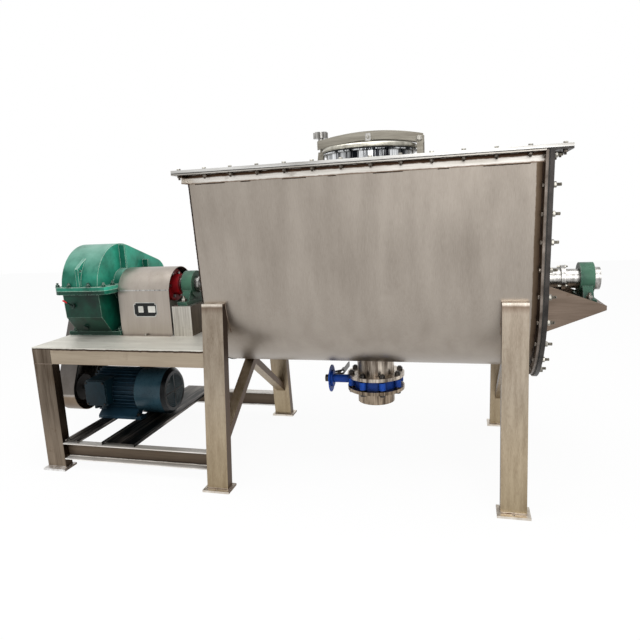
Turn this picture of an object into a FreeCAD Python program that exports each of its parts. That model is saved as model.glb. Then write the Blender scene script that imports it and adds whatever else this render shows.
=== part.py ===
import FreeCAD, Part
import Sketcher
import math
import os
import re

# Ploughshare mixer: a horizontal U-shaped stainless vessel on four legs, a shaft with plough
# shovels, and a drive table with gear reducer, belt drive and motor.
# Frame: +X along the shaft from the drive to the free end, +Y to the back, +Z up.
# Origin: on the floor, in the middle of the anchor holes of the four vessel legs.

doc = FreeCAD.newDocument("PloughshareMixer")
sheet = doc.addObject("Spreadsheet::Sheet", "Sizes")

SIZES = [
    # Shaft line and fits
    ("shaft_height", 1070, "shaft axis above the floor"),
    ("end_radius", 40, "main shaft at its bearings and glands"),
    ("mid_radius", 57, "main shaft inside the vessel"),
    ("running_fit", 0.05, "radial clearance of a turning fit"),
    ("free_gap", 0.4, "clearance between parts that only pass each other"),
    # Vessel
    ("trough_start", -840, "outer face of the drive end plate"),
    ("trough_end", 877, "end of the shell, where its flange starts"),
    ("trough_radius", 461, "inner radius of the vessel floor"),
    ("shell_wall", 6, "vessel sheet"),
    ("flare_angle", 4.6, "lean of the vessel walls, degrees"),
    ("rise", 630, "top edge of the vessel above the shaft axis"),
    ("drive_plate", 8, "drive end plate thickness"),
    ("flange_width", 50, "end flange ring, outward from the shell"),
    ("flange_plate", 12, "end flange ring thickness"),
    ("seal_width", 54, "end gasket, outward from the shell"),
    ("seal_plate", 5, "end gasket thickness"),
    ("cover_margin", 60, "removable end plate, outward from the shell"),
    ("cover_plate", 18, "removable end plate thickness"),
    ("flange_bolt_offset", 30, "end flange bolts, outward from the shell"),
    ("flange_bolt_steps", 11, "bolt spaces from the top to the bottom of one side"),
    # Rim and lid
    ("rim_depth", 50, "height of the rim angle on the wall"),
    ("rim_wall", 6, "rim angle thickness"),
    ("lid_overhang", 58.8, "side edge of the lid beyond the vessel wall"),
    ("lid_start", -900, "drive end edge of the lid"),
    ("lid_end", 986, "free end edge of the lid"),
    ("lid_seal", 4, "lid gasket thickness"),
    ("lid_border", 60, "flat bar round the lid, width"),
    ("lid_bar", 9, "flat bar round the lid, thickness"),
    ("lid_sheet", 5, "lid sheet"),
    ("lid_bolt_inset", 30, "lid bolts, in from the lid edge"),
    ("lid_bolt_columns", 14, "lid bolts along one long side"),
    ("lid_bolt_rows", 9, "lid bolts along one short side"),
    ("bolt_flats", 18, "hexagon of the M12 bolts, across flats"),
    ("bolt_head", 7.5, "height of an M12 head"),
    ("nut_height", 10, "height of an M12 nut"),
    ("bolt_radius", 6, "M12 shank"),
    # Manhole
    ("vessel_middle", 25, "manhole and outlet, along the shaft"),
    ("manhole_radius", 243, "manhole collar, outer"),
    ("arm_end", 153, "top of the arm ends above the lid"),
    ("arm_tail", 20, "arm beyond its hinge pin"),
    ("pillar_seat", 143, "plate that carries the cover, above the lid"),
    ("pillar_length", 60, "centre bolt above the cover"),
    ("fork_height", 147, "top of the fork of the swing bolt, above the lid"),
    ("fork_play", 2, "fork slot round the swing bolt"),
    ("lug_plate", 10, "hinge lug thickness"),
    ("lug_front", 14, "hinge lug in front of its pin"),
    ("swing_ear", 8, "lug thickness of the swing bolt"),
    ("swing_pin", 6, "pin of the swing bolt"),
    ("knob_stand", 24, "star knob hub below the head"),
    ("fork_reach_in_knob", 53, "threaded depth of the star knob"),
    ("manhole_wall", 5, "manhole collar sheet"),
    ("manhole_height", 78, "manhole collar above the lid"),
    ("manhole_ring", 262, "manhole ring and cover, outer"),
    ("ring_plate", 12, "manhole ring thickness"),
    ("cover_seal", 5, "manhole gasket"),
    ("cover_rim", 22, "manhole cover rim height"),
    ("cover_dome", 12, "rise of the cover middle"),
    ("cover_sheet", 5, "manhole cover sheet"),
    ("hinge_reach", 278, "manhole hinge pin from the manhole centre"),
    ("hinge_rise", 128, "manhole hinge pin above the lid"),
    ("hinge_pin_radius", 8, "manhole hinge pin"),
    ("arm_spread", 40, "arm bars, from the middle"),
    ("arm_bar", 8, "arm bar thickness"),
    ("arm_depth", 46, "arm bar height"),
    ("arm_rise", 34, "arch of the arm"),
    ("arm_reach", 290, "arm end from the manhole centre, latch side"),
    ("pillar_radius", 14, "cover centre bolt"),
    ("swing_reach", 279, "swing bolt from the manhole centre"),
    ("swing_rise", 82, "swing bolt pivot above the lid"),
    ("swing_radius", 7, "swing bolt thread"),
    ("swing_length", 118, "swing bolt from pivot to tip"),
    ("swing_eye", 14, "swing bolt eye"),
    ("knob_radius", 42, "star knob"),
    ("knob_height", 33, "star knob head"),
    ("knob_hub", 16, "star knob hub"),
    # Outlet and valve
    ("pipe_radius", 109.5, "outlet pipe, outer"),
    ("pipe_wall", 4.5, "outlet pipe wall"),
    ("pipe_flange", 170, "outlet flange, outer"),
    ("pipe_flange_plate", 20, "outlet flange thickness"),
    ("outlet_drop", 128, "valve disc axis below the vessel floor"),
    ("valve_length", 60, "valve body between the flanges"),
    ("valve_radius", 134, "valve body ring, outer"),
    ("seat_radius", 100, "valve seat bore"),
    ("seat_wall", 6, "rubber seat thickness"),
    ("disc_plate", 8, "valve disc at its edge"),
    ("disc_middle", 15, "valve disc at its middle, half"),
    ("stem_radius", 11, "valve stem"),
    ("valve_neck", 25, "neck of the valve body"),
    ("neck_reach", 272, "top flange of the neck from the outlet centre"),
    ("valve_bolt_circle", 147.5, "bolt circle radius of the outlet flanges"),
    ("valve_bolt_radius", 10, "M20 bolts of the outlet"),
    ("valve_bolt_count", 8, "bolts of the outlet"),
    ("lug_radius", 21, "lugs of the valve body"),
    ("spigot_length", 96, "outlet spigot below the valve"),
    ("lever_length", 330, "valve lever"),
    ("lever_offset", 68, "crank of the valve lever"),
    ("lug_step", 8, "valve lugs in from the flange faces"),
    ("neck_plate", 12, "top flange of the valve neck"),
    ("notch_radius", 83, "notch plate"),
    ("notch_plate", 5, "notch plate thickness"),
    ("notch_depth", 8, "notch depth"),
    ("notch_count", 7, "notches of a quarter turn"),
    ("tooth_half", 4, "half width of the latch tooth"),
    ("lever_hub", 35, "lever hub along the stem"),
    ("lever_plate", 8, "lever bar thickness"),
    ("lever_width", 32, "lever bar width"),
    ("lever_rise", 62, "crank of the lever along its length"),
    ("lever_play", 1.5, "slot of the lever round the latch"),
    ("latch_line", 250.5, "latch pin from the outlet centre"),
    ("latch_pivot", 128, "latch pin from the stem"),
    ("latch_pin", 3, "latch pin"),
    ("latch_plate", 4, "half thickness of the latch"),
    ("latch_reach", 105, "latch handle beyond its pin"),
    # Legs
    ("leg_clearance", 44, "vessel leg at the free end, clear of the end flange"),
    ("leg_width", 122, "vessel leg along the shaft"),
    ("leg_depth", 60, "all legs, across the shaft"),
    ("leg_wall", 6, "wall of all legs"),
    ("leg_lap", 33, "outer face of a vessel leg at its top, beyond the shell"),
    ("leg_splay", 115, "outer face of a vessel leg, from its top out to the floor"),
    ("leg_drop", 49, "top of a vessel leg below the shaft axis"),
    ("foot_width", 156, "foot plate along the shaft"),
    ("foot_lip", 30, "foot plate beyond the outer face of a leg"),
    ("foot_back", 18, "foot plate beyond the inner face of a leg"),
    ("foot_plate", 12, "foot plate thickness"),
    ("anchor_offset", 15, "anchor hole beyond the outer face of a leg"),
    ("anchor_radius", 6, "anchor hole"),
    ("brace_width", 60, "brace bar along the shaft"),
    ("brace_depth", 40, "brace bar"),
    ("brace_foot", 200, "brace foot above the floor"),
    # Drive table
    ("table_left", -1953, "free end of the table"),
    ("table_front", -517, "front of the table"),
    ("table_back", 620, "back of the table"),
    ("centre_height", 300, "shaft axis above the table, as the reducer needs it"),
    ("table_sheet", 8, "table top plate"),
    ("apron_height", 92, "table frame channel"),
    ("apron_width", 50, "table frame channel flanges"),
    ("apron_wall", 6, "table frame wall"),
    ("table_leg", 126, "table leg along the shaft"),
    ("beam_bottom", 66, "lower beams above the floor"),
    ("beam_height", 104, "lower beam channel"),
    ("beam_depth", 50, "lower beam flanges"),
    ("rail_left", -1775, "middle of the motor rail at the drive end"),
    ("rail_right", -1452, "middle of the motor rail at the fan end"),
    ("rail_left_width", 90, "motor rail at the drive end"),
    ("rail_right_width", 222, "motor rail at the fan end"),
    ("rail_height", 20, "motor rail height"),
    ("rail_wall", 4, "motor rail sheet"),
    # Bearings, glands, bracket
    ("drive_bearing", -1135, "drive side bearing along the shaft"),
    ("tail_bearing", 1161, "tail side bearing along the shaft"),
    ("bearing_seat", 115, "bearing base below the shaft axis"),
    ("bearing_head", 86, "bearing housing head"),
    ("bearing_width", 70, "bearing housing head width"),
    ("bearing_base", 155, "half length of the bearing base"),
    ("base_plate", 24, "thickness of the bearing base"),
    ("base_width", 64, "width of the bearing base"),
    ("ring_radius", 52, "bearing inner ring and collar"),
    ("collar_radius", 60, "shaft end collar"),
    ("neck_radius", 60, "gland neck"),
    ("packing_radius", 50, "gland packing, outer"),
    ("gland_length", 119, "gland neck length"),
    ("follower_radius", 73, "gland follower"),
    ("follower_plate", 25, "gland follower thickness"),
    ("shaft_tip", 1229, "free end of the shaft"),
    ("ring_half", 65, "half length of the drive inner ring"),
    ("ring_reach", 104, "tail inner ring towards the vessel"),
    ("bearing_bolt", 11, "bearing base bolt hole"),
    ("gland_flange", 30, "flange of the gland neck"),
    ("packing_length", 95, "packing along the shaft"),
    ("follower_gap", 5, "gap between the gland and its follower"),
    ("cheek_half", 175, "bracket cheeks, outer faces from the middle"),
    ("cheek_plate", 8, "bracket cheek thickness"),
    ("cheek_tip", 1235, "outer end of the bracket"),
    ("cheek_drop", 157, "root of the bracket below the bearing base"),
    ("cheek_lip", 27, "tip of the bracket below the bearing base"),
    ("pedestal_width", 125, "drive bearing pedestal along the shaft"),
    ("pedestal_half", 175, "half length of the pedestal"),
    ("pedestal_wall", 6, "pedestal wall"),
    ("pedestal_cap", 10, "pedestal top plate"),
    # Coupling and guard
    ("coupling_middle", -1300, "gap of the coupling along the shaft"),
    ("coupling_gap", 4, "gap between the coupling halves"),
    ("coupling_radius", 104, "coupling flange"),
    ("coupling_flange", 46, "coupling flange thickness"),
    ("coupling_hub", 66, "coupling hub"),
    ("coupling_length", 95, "coupling half length"),
    ("coupling_pin", 9, "coupling pin"),
    ("coupling_bush", 16, "rubber bush of a coupling pin"),
    ("coupling_circle", 80, "circle of the coupling pins"),
    ("coupling_pins", 6, "number of coupling pins"),
    ("guard_left", -1570, "coupling guard, reducer side"),
    ("guard_right", -1215, "coupling guard, bearing side"),
    ("guard_half", 165, "coupling guard, half width"),
    ("guard_rise", 115, "top of the coupling guard above the shaft axis"),
    ("guard_sheet", 3, "guard sheet"),
    ("guard_foot", 30, "foot flange of the coupling guard"),
    # Reducer
    ("reducer_middle", -1762, "middle of the reducer along the shaft"),
    ("case_half", 128, "half width of the reducer case"),
    ("case_radius", 272, "case round the large wheel"),
    ("case_tail", 138, "case round the input pinion"),
    ("case_wall", 9, "case wall"),
    ("case_floor", 26, "oil floor above the table"),
    ("slow_centres", 260, "large wheel to middle pinion"),
    ("fast_centres", 150, "middle wheel to input pinion"),
    ("seam_half", 190, "half width of the case flanges"),
    ("seam_front", -290, "front of the parting flange"),
    ("seam_back", 590, "back of the parting flange"),
    ("seam_plate", 23, "thickness of one parting flange"),
    ("seam_corner", 60, "corner radius of the parting flanges"),
    ("rib_half", 8, "half thickness of the case ribs"),
    ("rib_reach", 168, "ribs from the reducer middle"),
    ("eye_plate", 22, "lifting eye thickness"),
    ("eye_hole", 9, "lifting eye hole"),
    ("dipstick_offset", -62, "dipstick from the reducer middle"),
    ("plug_offset", -32, "drain plug from the reducer middle"),
    ("stick_length", 96, "handle of the dipstick"),
    ("plug_radius", 14, "plugs and cable inlets"),
    ("base_front", -178, "front of the reducer foot"),
    ("base_back", 490, "back of the reducer foot"),
    ("boss_half", 194, "half length over the bearing bosses"),
    ("boss_big", 112, "output bearing boss"),
    ("boss_mid", 80, "middle bearing boss"),
    ("boss_small", 64, "input bearing boss"),
    ("slow_module", 5, "module of the slow gears"),
    ("fast_module", 4, "module of the fast gears"),
    ("slow_wheel", 86, "teeth of the large wheel"),
    ("slow_pinion", 18, "teeth of the middle pinion"),
    ("fast_wheel", 58, "teeth of the middle wheel"),
    ("fast_pinion", 17, "teeth of the input pinion"),
    ("slow_face", 100, "face width of the slow gears"),
    ("fast_face", 60, "face width of the fast gears"),
    ("slow_offset", -45, "slow gears from the reducer middle"),
    ("fast_offset", 60, "fast gears from the reducer middle"),
    ("output_radius", 45, "output shaft"),
    ("middle_radius", 30, "middle shaft"),
    ("input_radius", 22, "input shaft"),
    ("backlash", 0.5, "tooth thinning"),
    ("bearing_big", 85, "output bearing, outer"),
    ("bearing_mid", 58, "middle bearing, outer"),
    ("bearing_small", 45, "input bearing, outer"),
    ("bearing_face", 45, "width of the case bearings"),
    ("cap_inset", 8, "bearing cap in from the edge of its boss"),
    ("cap_plate", 10, "bearing cap thickness"),
    # Belt drive
    ("belt_plane", -2082, "middle of the belts along the shaft"),
    ("driven_radius", 180, "driven pulley"),
    ("driver_radius", 90, "motor pulley"),
    ("pulley_face", 66, "pulley width"),
    ("belt_pitch", 19, "belt spacing"),
    ("belt_count", 3, "number of belts"),
    ("belt_width", 15, "belt width"),
    ("belt_depth", 11, "belt thickness"),
    ("shield_back", -2147, "back plate of the belt guard"),
    ("shield_front", -2017, "open edge of the belt guard"),
    ("shield_bar", 40, "bar and posts of the belt guard"),
    ("shield_low", 155, "belt guard round the motor pulley"),
    ("shield_high", 212, "belt guard round the driven pulley"),
    # Motor
    ("motor_shift", 20, "motor axis behind the shaft line"),
    ("motor_seat", 160, "motor axis above its feet"),
    ("motor_start", -1917, "drive end of the motor"),
    ("stator_end", -1560, "fan end of the finned frame"),
    ("cowl_end", -1347, "fan cover end"),
    ("stator_radius", 128, "finned frame core"),
    ("fin_radius", 152, "tips of the fins"),
    ("fin_plate", 3, "fin thickness"),
    ("fin_count", 32, "number of fins"),
    ("cowl_radius", 155, "fan cover"),
    ("grille_radius", 112, "air inlet of the fan cover"),
    ("spoke_half", 6, "cross of the air inlet, half width"),
    ("fan_blades", 7, "fan blades"),
    ("fan_depth", 45, "fan along the axis"),
    ("shield_depth", 30, "motor end shield"),
    ("stator_bore", 85, "bore of the stator"),
    ("foot_margin", 32, "motor foot round its holes"),
    ("foot_slab", 20, "motor foot thickness"),
    ("foot_hole", 7, "motor foot hole"),
    ("cowl_sheet", 2, "fan cover sheet"),
    ("motor_shaft", 21, "motor shaft"),
    ("foot_hole_first", 108, "first motor foot from the drive end"),
    ("foot_hole_pitch", 254, "motor feet along the axis"),
    ("foot_hole_half", 127, "motor feet from the axis"),
    ("box_left", -1868, "drive end of the terminal box"),
    ("box_right", -1722, "fan end of the terminal box"),
    ("box_drop", 50, "terminal box below the motor axis"),
    ("box_rise", 118, "terminal box above the motor axis"),
    ("box_reach", 222, "front of the terminal box from the motor axis"),
    # Agitator
    ("plough_count", 7, "plough shovels"),
    ("plough_gap", 8, "plough to vessel wall"),
    ("plough_width", 190, "plough along the shaft"),
    ("plough_length", 200, "plough along its travel"),
    ("plough_height", 120, "plough along the radius"),
    ("plough_sheet", 9, "plough wall"),
    ("arm_radius", 20, "plough arm"),
    ("hub_radius", 34, "socket of a plough arm"),
    ("agitator_phase", 15, "first plough from upright, degrees"),
]

DERIVED = {
    "shell_radius": "trough_radius + shell_wall",
    "trough_top": "shaft_height + rise",
    "lid_half": "(shell_radius + rise * sin(flare_angle)) / cos(flare_angle) + lid_overhang",
    "shell_start": "trough_start + drive_plate",
    "seal_start": "trough_end + flange_plate",
    "cover_start": "seal_start + seal_plate",
    "cover_face": "cover_start + cover_plate",
    "lid_bottom": "trough_top + lid_seal",
    "lid_top": "lid_bottom + lid_bar + lid_sheet",
    "ring_top": "lid_top + manhole_height",
    "cover_bottom": "ring_top + cover_seal",
    "valve_height": "shaft_height - shell_radius - outlet_drop",
    "valve_top": "valve_height + valve_length / 2",
    "valve_bottom": "valve_height - valve_length / 2",
    "spigot_bottom": "valve_bottom - spigot_length",
    "leg_top": "shaft_height - leg_drop",
    "leg_foot": "shell_radius + leg_lap + leg_splay",
    "leg_slope": "leg_splay / (leg_top - foot_plate)",
    "leg_spacing": "2 * (trough_end - leg_clearance) - leg_width",
    "table_right": "-leg_spacing / 2 - leg_width / 2",
    "input_shift": "slow_centres + fast_centres",
    "case_slope": "asin((case_radius - case_tail) / input_shift)",
    "bearing_floor": "shaft_height - bearing_seat",
    "table_height": "shaft_height - centre_height",
    "table_under": "table_height - table_sheet",
    "apron_bottom": "table_under - apron_height",
    "beam_top": "beam_bottom + beam_height",
    "motor_height": "beam_top + rail_height + motor_seat",
    "case_bottom": "case_floor - centre_height",
}

for row, (alias, number, meaning) in enumerate(SIZES, 1):
    sheet.set("A%d" % row, meaning)
    sheet.set("B%d" % row, str(number))
    sheet.setAlias("B%d" % row, alias)
doc.recompute()
ALIASES = {alias for alias, number, meaning in SIZES}
PIECES = []


def formula(text):
    """Words of the sheet and of DERIVED, turned into one expression."""
    def word(match):
        name = match.group(0)
        if name in DERIVED:
            return "(" + formula(DERIVED[name]) + ")"
        return "Sizes." + name if name in ALIASES else name
    return re.sub(r"[a-z][a-z_0-9]*", word, text)


def size(text):
    """The number that an expression gives now."""
    found = sheet.evalExpression(formula(text))
    return float(found.Value if hasattr(found, "Value") else found)


def body(label, x="0", y="0", z="0"):
    """A new sub-part with its own place."""
    made = doc.addObject("PartDesign::Body", label)
    for axis, text in zip("xyz", (x, y, z)):
        if text != "0":
            made.setExpression("Placement.Base." + axis, formula(text))
    PIECES.append(made)
    return made


def hidden(made):
    """Take a helper body off the list of sub-parts."""
    PIECES.remove(made)
    return made


def origin_of(made, role):
    return next(part for part in made.Origin.OriginFeatures if part.Role == role)


def sketch(made, plane, offset="0"):
    """A sketch on an origin plane. XY looks up, XZ looks to the front, YZ looks to +X."""
    drawn = made.newObject("Sketcher::SketchObject", made.Name + "_sketch")
    drawn.AttachmentSupport = [(origin_of(made, plane + "_Plane"), "")]
    drawn.MapMode = "FlatFace"
    if offset != "0":
        drawn.setExpression("AttachmentOffset.Base.z", formula(offset))
    return drawn


def pin_point(drawn, geometry, vertex, x=None, y=None):
    """Hold a point at sheet distances from the sketch origin."""
    for kind, text in (("DistanceX", x), ("DistanceY", y)):
        if text is not None:
            rule = drawn.addConstraint(Sketcher.Constraint(kind, -1, 1, geometry, vertex, size(text)))
            drawn.setExpression("Constraints[%d]" % rule, formula(text))


def outline(drawn, steps):
    """A closed chain. (x, y) is a line to that point; (x, y, cx, cy, turn) is an arc to it."""
    points = [(size(step[0]), size(step[1])) for step in steps]
    start = points[-1]
    ends = []
    for step, end in zip(steps, points):
        if len(step) == 2:
            line = Part.LineSegment(FreeCAD.Vector(*start, 0), FreeCAD.Vector(*end, 0))
            index = drawn.addGeometry(line, False)
            pin_point(drawn, index, 2, step[0], step[1])
            ends.append((index, 1, 2))
        else:
            centre = (size(step[2]), size(step[3]))
            radius = math.dist(centre, end)
            angles = [math.atan2(p[1] - centre[1], p[0] - centre[0]) for p in (start, end)]
            first, last = angles if step[4] > 0 else angles[::-1]
            circle = Part.Circle(FreeCAD.Vector(*centre, 0), FreeCAD.Vector(0, 0, 1), radius)
            index = drawn.addGeometry(Part.ArcOfCircle(circle, first, last), False)
            vertex = 2 if step[4] > 0 else 1
            pin_point(drawn, index, 3, step[2], step[3])
            across = abs(end[0] - centre[0]) > abs(end[1] - centre[1])
            pin_point(drawn, index, vertex, None if across else step[0], step[1] if across else None)
            ends.append((index, 3 - vertex, vertex))
        start = end
    for before, after in zip(ends, ends[1:] + ends[:1]):
        drawn.addConstraint(Sketcher.Constraint("Coincident", before[0], before[2], after[0], after[1]))
    return drawn


def circle(drawn, x, y, radius):
    shape = Part.Circle(FreeCAD.Vector(size(x), size(y), 0), FreeCAD.Vector(0, 0, 1), size(radius))
    index = drawn.addGeometry(shape, False)
    pin_point(drawn, index, 3, x, y)
    rule = drawn.addConstraint(Sketcher.Constraint("Radius", index, size(radius)))
    drawn.setExpression("Constraints[%d]" % rule, formula(radius))
    return drawn


def rectangle(drawn, left, right, bottom, top):
    return outline(drawn, [(right, bottom), (right, top), (left, top), (left, bottom)])


def feature(made, kind, drawn, length=None, both=False, flip=False):
    """A Pad or Pocket of a sketch; without a length a pocket cuts through."""
    done = made.newObject("PartDesign::" + kind, made.Name + "_" + kind.lower())
    done.Profile = drawn
    done.SideType = "Symmetric" if both else "One side"
    done.Reversed = flip
    if length is None:
        done.Type = "ThroughAll"
    else:
        done.setExpression("Length", formula(length))
    drawn.Visibility = False
    return done


def pad(made, drawn, length, both=False, flip=False):
    return feature(made, "Pad", drawn, length, both, flip)


def pocket(made, drawn, length=None, both=False, flip=False):
    return feature(made, "Pocket", drawn, length, both, flip)


def turn(made, drawn, axis="H_Axis", kind="Revolution"):
    """A full turn of a sketch about its own axis."""
    done = made.newObject("PartDesign::" + kind, made.Name + "_turn")
    done.Profile = drawn
    done.ReferenceAxis = (drawn, [axis])
    done.Angle = 360
    drawn.Visibility = False
    return done


def bore(made, plane, radius, length):
    """A round hole on the axis, both ways from the plane."""
    return pocket(made, circle(sketch(made, plane), "0", "0", radius), length, both=True)


def polar(made, features, axis, count):
    """Copies of features round an origin axis of their body."""
    done = made.newObject("PartDesign::PolarPattern", made.Name + "_polar")
    done.Originals = features
    done.Axis = (origin_of(made, axis + "_Axis"), [""])
    done.Angle = 360
    done.setExpression("Occurrences", formula(count))
    made.Tip = done
    return done


def mirror(made, features, plane):
    done = made.newObject("PartDesign::Mirrored", made.Name + "_mirror")
    done.Originals = features
    done.MirrorPlane = (origin_of(made, plane + "_Plane"), [""])
    made.Tip = done
    return done


def fillet(made, radius, chosen, kind="Fillet"):
    """Round the edges of the body so far that a test picks."""
    doc.recompute()
    base = made.Tip
    names = ["Edge%d" % i for i, edge in enumerate(base.Shape.Edges, 1) if chosen(edge)]
    done = made.newObject("PartDesign::" + kind, made.Name + "_round")
    done.Base = (base, names)
    done.setExpression("Radius" if kind == "Fillet" else "Size", formula(radius))
    return done


def shaped(label, shape, x="0", y="0", z="0"):
    """A sub-part whose shape is worked out by the functions below from the same sheet."""
    made = doc.addObject("Part::Feature", label)
    made.Shape = shape
    for axis, text in zip("xyz", (x, y, z)):
        if text != "0":
            made.setExpression("Placement.Base." + axis, formula(text))
    PIECES.append(made)
    return made


def wall_steps(offset, top="rise"):
    """U outline in the cross-section, its wall offset from the inside of the vessel."""
    radius = "(trough_radius + " + offset + ")"
    side_y = radius + " * cos(flare_angle)"
    side_z = "-" + radius + " * sin(flare_angle)"
    top_y = "((" + radius + " + (" + top + ") * sin(flare_angle)) / cos(flare_angle))"
    return [
        ("-" + top_y, top),
        ("-" + side_y, side_z),
        (side_y, side_z, "0", "0", 1),
        (top_y, top),
    ]


def ring_steps(outer, inner, top="rise"):
    """Closed outline of an open-topped U band between two wall offsets."""
    return wall_steps(outer, top) + reversed_steps(wall_steps(inner, top))


def reversed_steps(steps):
    """The same chain walked backwards, its arc turned round."""
    back = [steps[3], steps[2][:2], (steps[1][0], steps[1][1], "0", "0", -1), steps[0]]
    return back


def trough_shell():
    made = body("trough_shell", x="shell_start", z="shaft_height")
    pad(made, outline(sketch(made, "YZ"), ring_steps("shell_wall", "0")), "trough_end - shell_start")
    hole = circle(sketch(made, "XY"), "vessel_middle - shell_start", "0", "pipe_radius - pipe_wall")
    pocket(made, hole, "shell_radius + seal_width")


def drive_end_plate():
    made = body("drive_end_plate", x="trough_start", z="shaft_height")
    pad(made, outline(sketch(made, "YZ"), wall_steps("shell_wall")), "drive_plate")
    pocket(made, circle(sketch(made, "YZ"), "0", "0", "packing_radius"), None, flip=True)


def trough_end_flange():
    made = body("trough_end_flange", x="trough_end", z="shaft_height")
    pad(made, outline(sketch(made, "YZ"), ring_steps("shell_wall + flange_width", "0")), "flange_plate")


def removable_end_plate():
    """End plate with the angle along its top that the lid bolts to."""
    made = body("removable_end_plate", x="cover_start", z="shaft_height")
    pad(made, outline(sketch(made, "YZ"), wall_steps("shell_wall + cover_margin")), "cover_plate")
    shelf = rectangle(sketch(made, "XZ"), "cover_plate", "lid_end - cover_start", "rise - rim_wall", "rise")
    pad(made, shelf, "2 * lid_half", both=True)
    apron = rectangle(sketch(made, "XZ"), "cover_plate", "cover_plate + rim_wall", "rise - rim_depth", "rise")
    pad(made, apron, "2 * (lid_half - lid_overhang)", both=True)
    pocket(made, circle(sketch(made, "YZ"), "0", "0", "packing_radius"), None, flip=True)


def rim_angle():
    """Angle round the top of the vessel, under the lid."""
    made = body("rim_angle", z="trough_top")
    wall = "((shell_radius + (rise %s) * sin(flare_angle)) / cos(flare_angle))"
    top, under, low = wall % "", wall % "- rim_wall", wall % "- rim_depth"
    section = outline(sketch(made, "YZ", "trough_start"), [
        (top, "0"), ("lid_half", "0"), ("lid_half", "-rim_wall"), (under + " + rim_wall", "-rim_wall"),
        (low + " + rim_wall", "-rim_depth"), (low, "-rim_depth")])
    side = pad(made, section, "trough_end - trough_start")
    mirror(made, [side], "XZ")
    end = outline(sketch(made, "XZ"), [
        ("trough_start", "0"), ("lid_start", "0"), ("lid_start", "-rim_wall"),
        ("trough_start - rim_wall", "-rim_wall"), ("trough_start - rim_wall", "-rim_depth"),
        ("trough_start", "-rim_depth")])
    pad(made, end, "2 * lid_half", both=True)


def frame_ring(made, thickness, inset, offset="0"):
    """Flat rectangular ring of the lid outline."""
    drawn = rectangle(sketch(made, "XY", offset), "lid_start", "lid_end", "-lid_half", "lid_half")
    rectangle(drawn, "lid_start + " + inset, "lid_end - " + inset,
              "-lid_half + " + inset, "lid_half - " + inset)
    return pad(made, drawn, thickness)


def lid_plate():
    made = body("lid_plate", z="lid_bottom")
    frame_ring(made, "lid_bar", "lid_border")
    top = rectangle(sketch(made, "XY", "lid_bar"), "lid_start", "lid_end", "-lid_half", "lid_half")
    circle(top, "vessel_middle", "0", "manhole_radius - manhole_wall")
    pad(made, top, "lid_sheet")


def prism(flats, height, base, direction, sides=6):
    """Straight prism, its flats across the given width, rising from a base point."""
    corner = flats / 2 / math.cos(math.pi / sides)
    spots = [FreeCAD.Vector(corner * math.cos(2 * math.pi * i / sides),
                            corner * math.sin(2 * math.pi * i / sides), 0) for i in range(sides)]
    solid = Part.Face(Part.makePolygon(spots + spots[:1])).extrude(FreeCAD.Vector(0, 0, height))
    solid.Placement = FreeCAD.Placement(base, FreeCAD.Rotation(FreeCAD.Vector(0, 0, 1), direction))
    return solid


def lid_bolt_places():
    """Corners and even steps along the four sides of the lid."""
    inset = size("lid_bolt_inset")
    left, right = size("lid_start") + inset, size("lid_end") - inset
    half = size("lid_half") - inset
    columns, rows = int(size("lid_bolt_columns")), int(size("lid_bolt_rows"))
    along = [left + (right - left) * i / (columns - 1) for i in range(columns)]
    across = [-half + 2 * half * i / (rows - 1) for i in range(1, rows - 1)]
    return [(x, y) for x in along for y in (-half, half)] + [(x, y) for x in (left, right) for y in across]


def lid_bolts():
    """Hexagon heads on the lid and nuts under the rim."""
    up = FreeCAD.Vector(0, 0, 1)
    flats, head, nut = size("bolt_flats"), size("bolt_head"), size("nut_height")
    solids = []
    for x, y in lid_bolt_places():
        solids.append(prism(flats, head, FreeCAD.Vector(x, y, size("lid_top")), up))
        under = FreeCAD.Vector(x, y, size("trough_top - rim_wall"))
        solids.append(prism(flats, nut, under, -up))
    shaped("lid_bolts", Part.makeCompound(solids))


def flange_bolt_places():
    """Even steps down the front, round the bottom and up the back of the end flange."""
    radius = size("shell_radius + flange_bolt_offset")
    lean = math.radians(size("flare_angle"))
    steps = int(size("flange_bolt_steps"))
    low = -radius * math.sin(lean)
    high = size("rise - rim_wall - bolt_flats")
    straight = (high - low) / math.cos(lean)
    curve = radius * (math.pi / 2 - lean)
    places = []
    for index in range(steps + 1):
        run = (straight + curve) * index / steps
        if run <= straight:
            height = high - run * math.cos(lean)
            y = (radius + height * math.sin(lean)) / math.cos(lean)
            places.append((y, height))
        else:
            angle = lean + (run - straight) / radius
            places.append((radius * math.cos(angle), -radius * math.sin(angle)))
    return places + [(-y, z) for y, z in places[:-1]]


def end_plate_bolts():
    """Studs with a head inside the flange and a nut outside the end plate."""
    out = FreeCAD.Vector(1, 0, 0)
    flats, nut, head = size("bolt_flats"), size("nut_height"), size("bolt_head")
    solids = []
    for y, height in flange_bolt_places():
        z = height + size("shaft_height")
        solids.append(prism(flats, head, FreeCAD.Vector(size("trough_end"), y, z), -out))
        face = FreeCAD.Vector(size("cover_face"), y, z)
        tip = prism(size("2 * bolt_radius"), nut * 2, face + out * nut, out)
        solids.append(prism(flats, nut, face, out).fuse(tip).removeSplitter())
    shaped("end_plate_bolts", Part.makeCompound(solids))


def manhole_collar():
    made = body("manhole_collar", x="vessel_middle", z="lid_bottom + lid_bar")
    low, high = "0", "lid_sheet + manhole_height"
    inner = "manhole_radius - manhole_wall"
    section = outline(sketch(made, "XZ"), [
        ("manhole_radius", "lid_sheet"), ("manhole_radius", high + " - ring_plate"),
        ("manhole_ring - ring_plate / 2", high + " - ring_plate"),
        ("manhole_ring", high + " - 0.7 * ring_plate"), ("manhole_ring", high + " - 0.3 * ring_plate"),
        ("manhole_ring - ring_plate / 2", high),
        (inner, high), (inner, "lid_sheet")])
    turn(made, section, "V_Axis")


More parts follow.
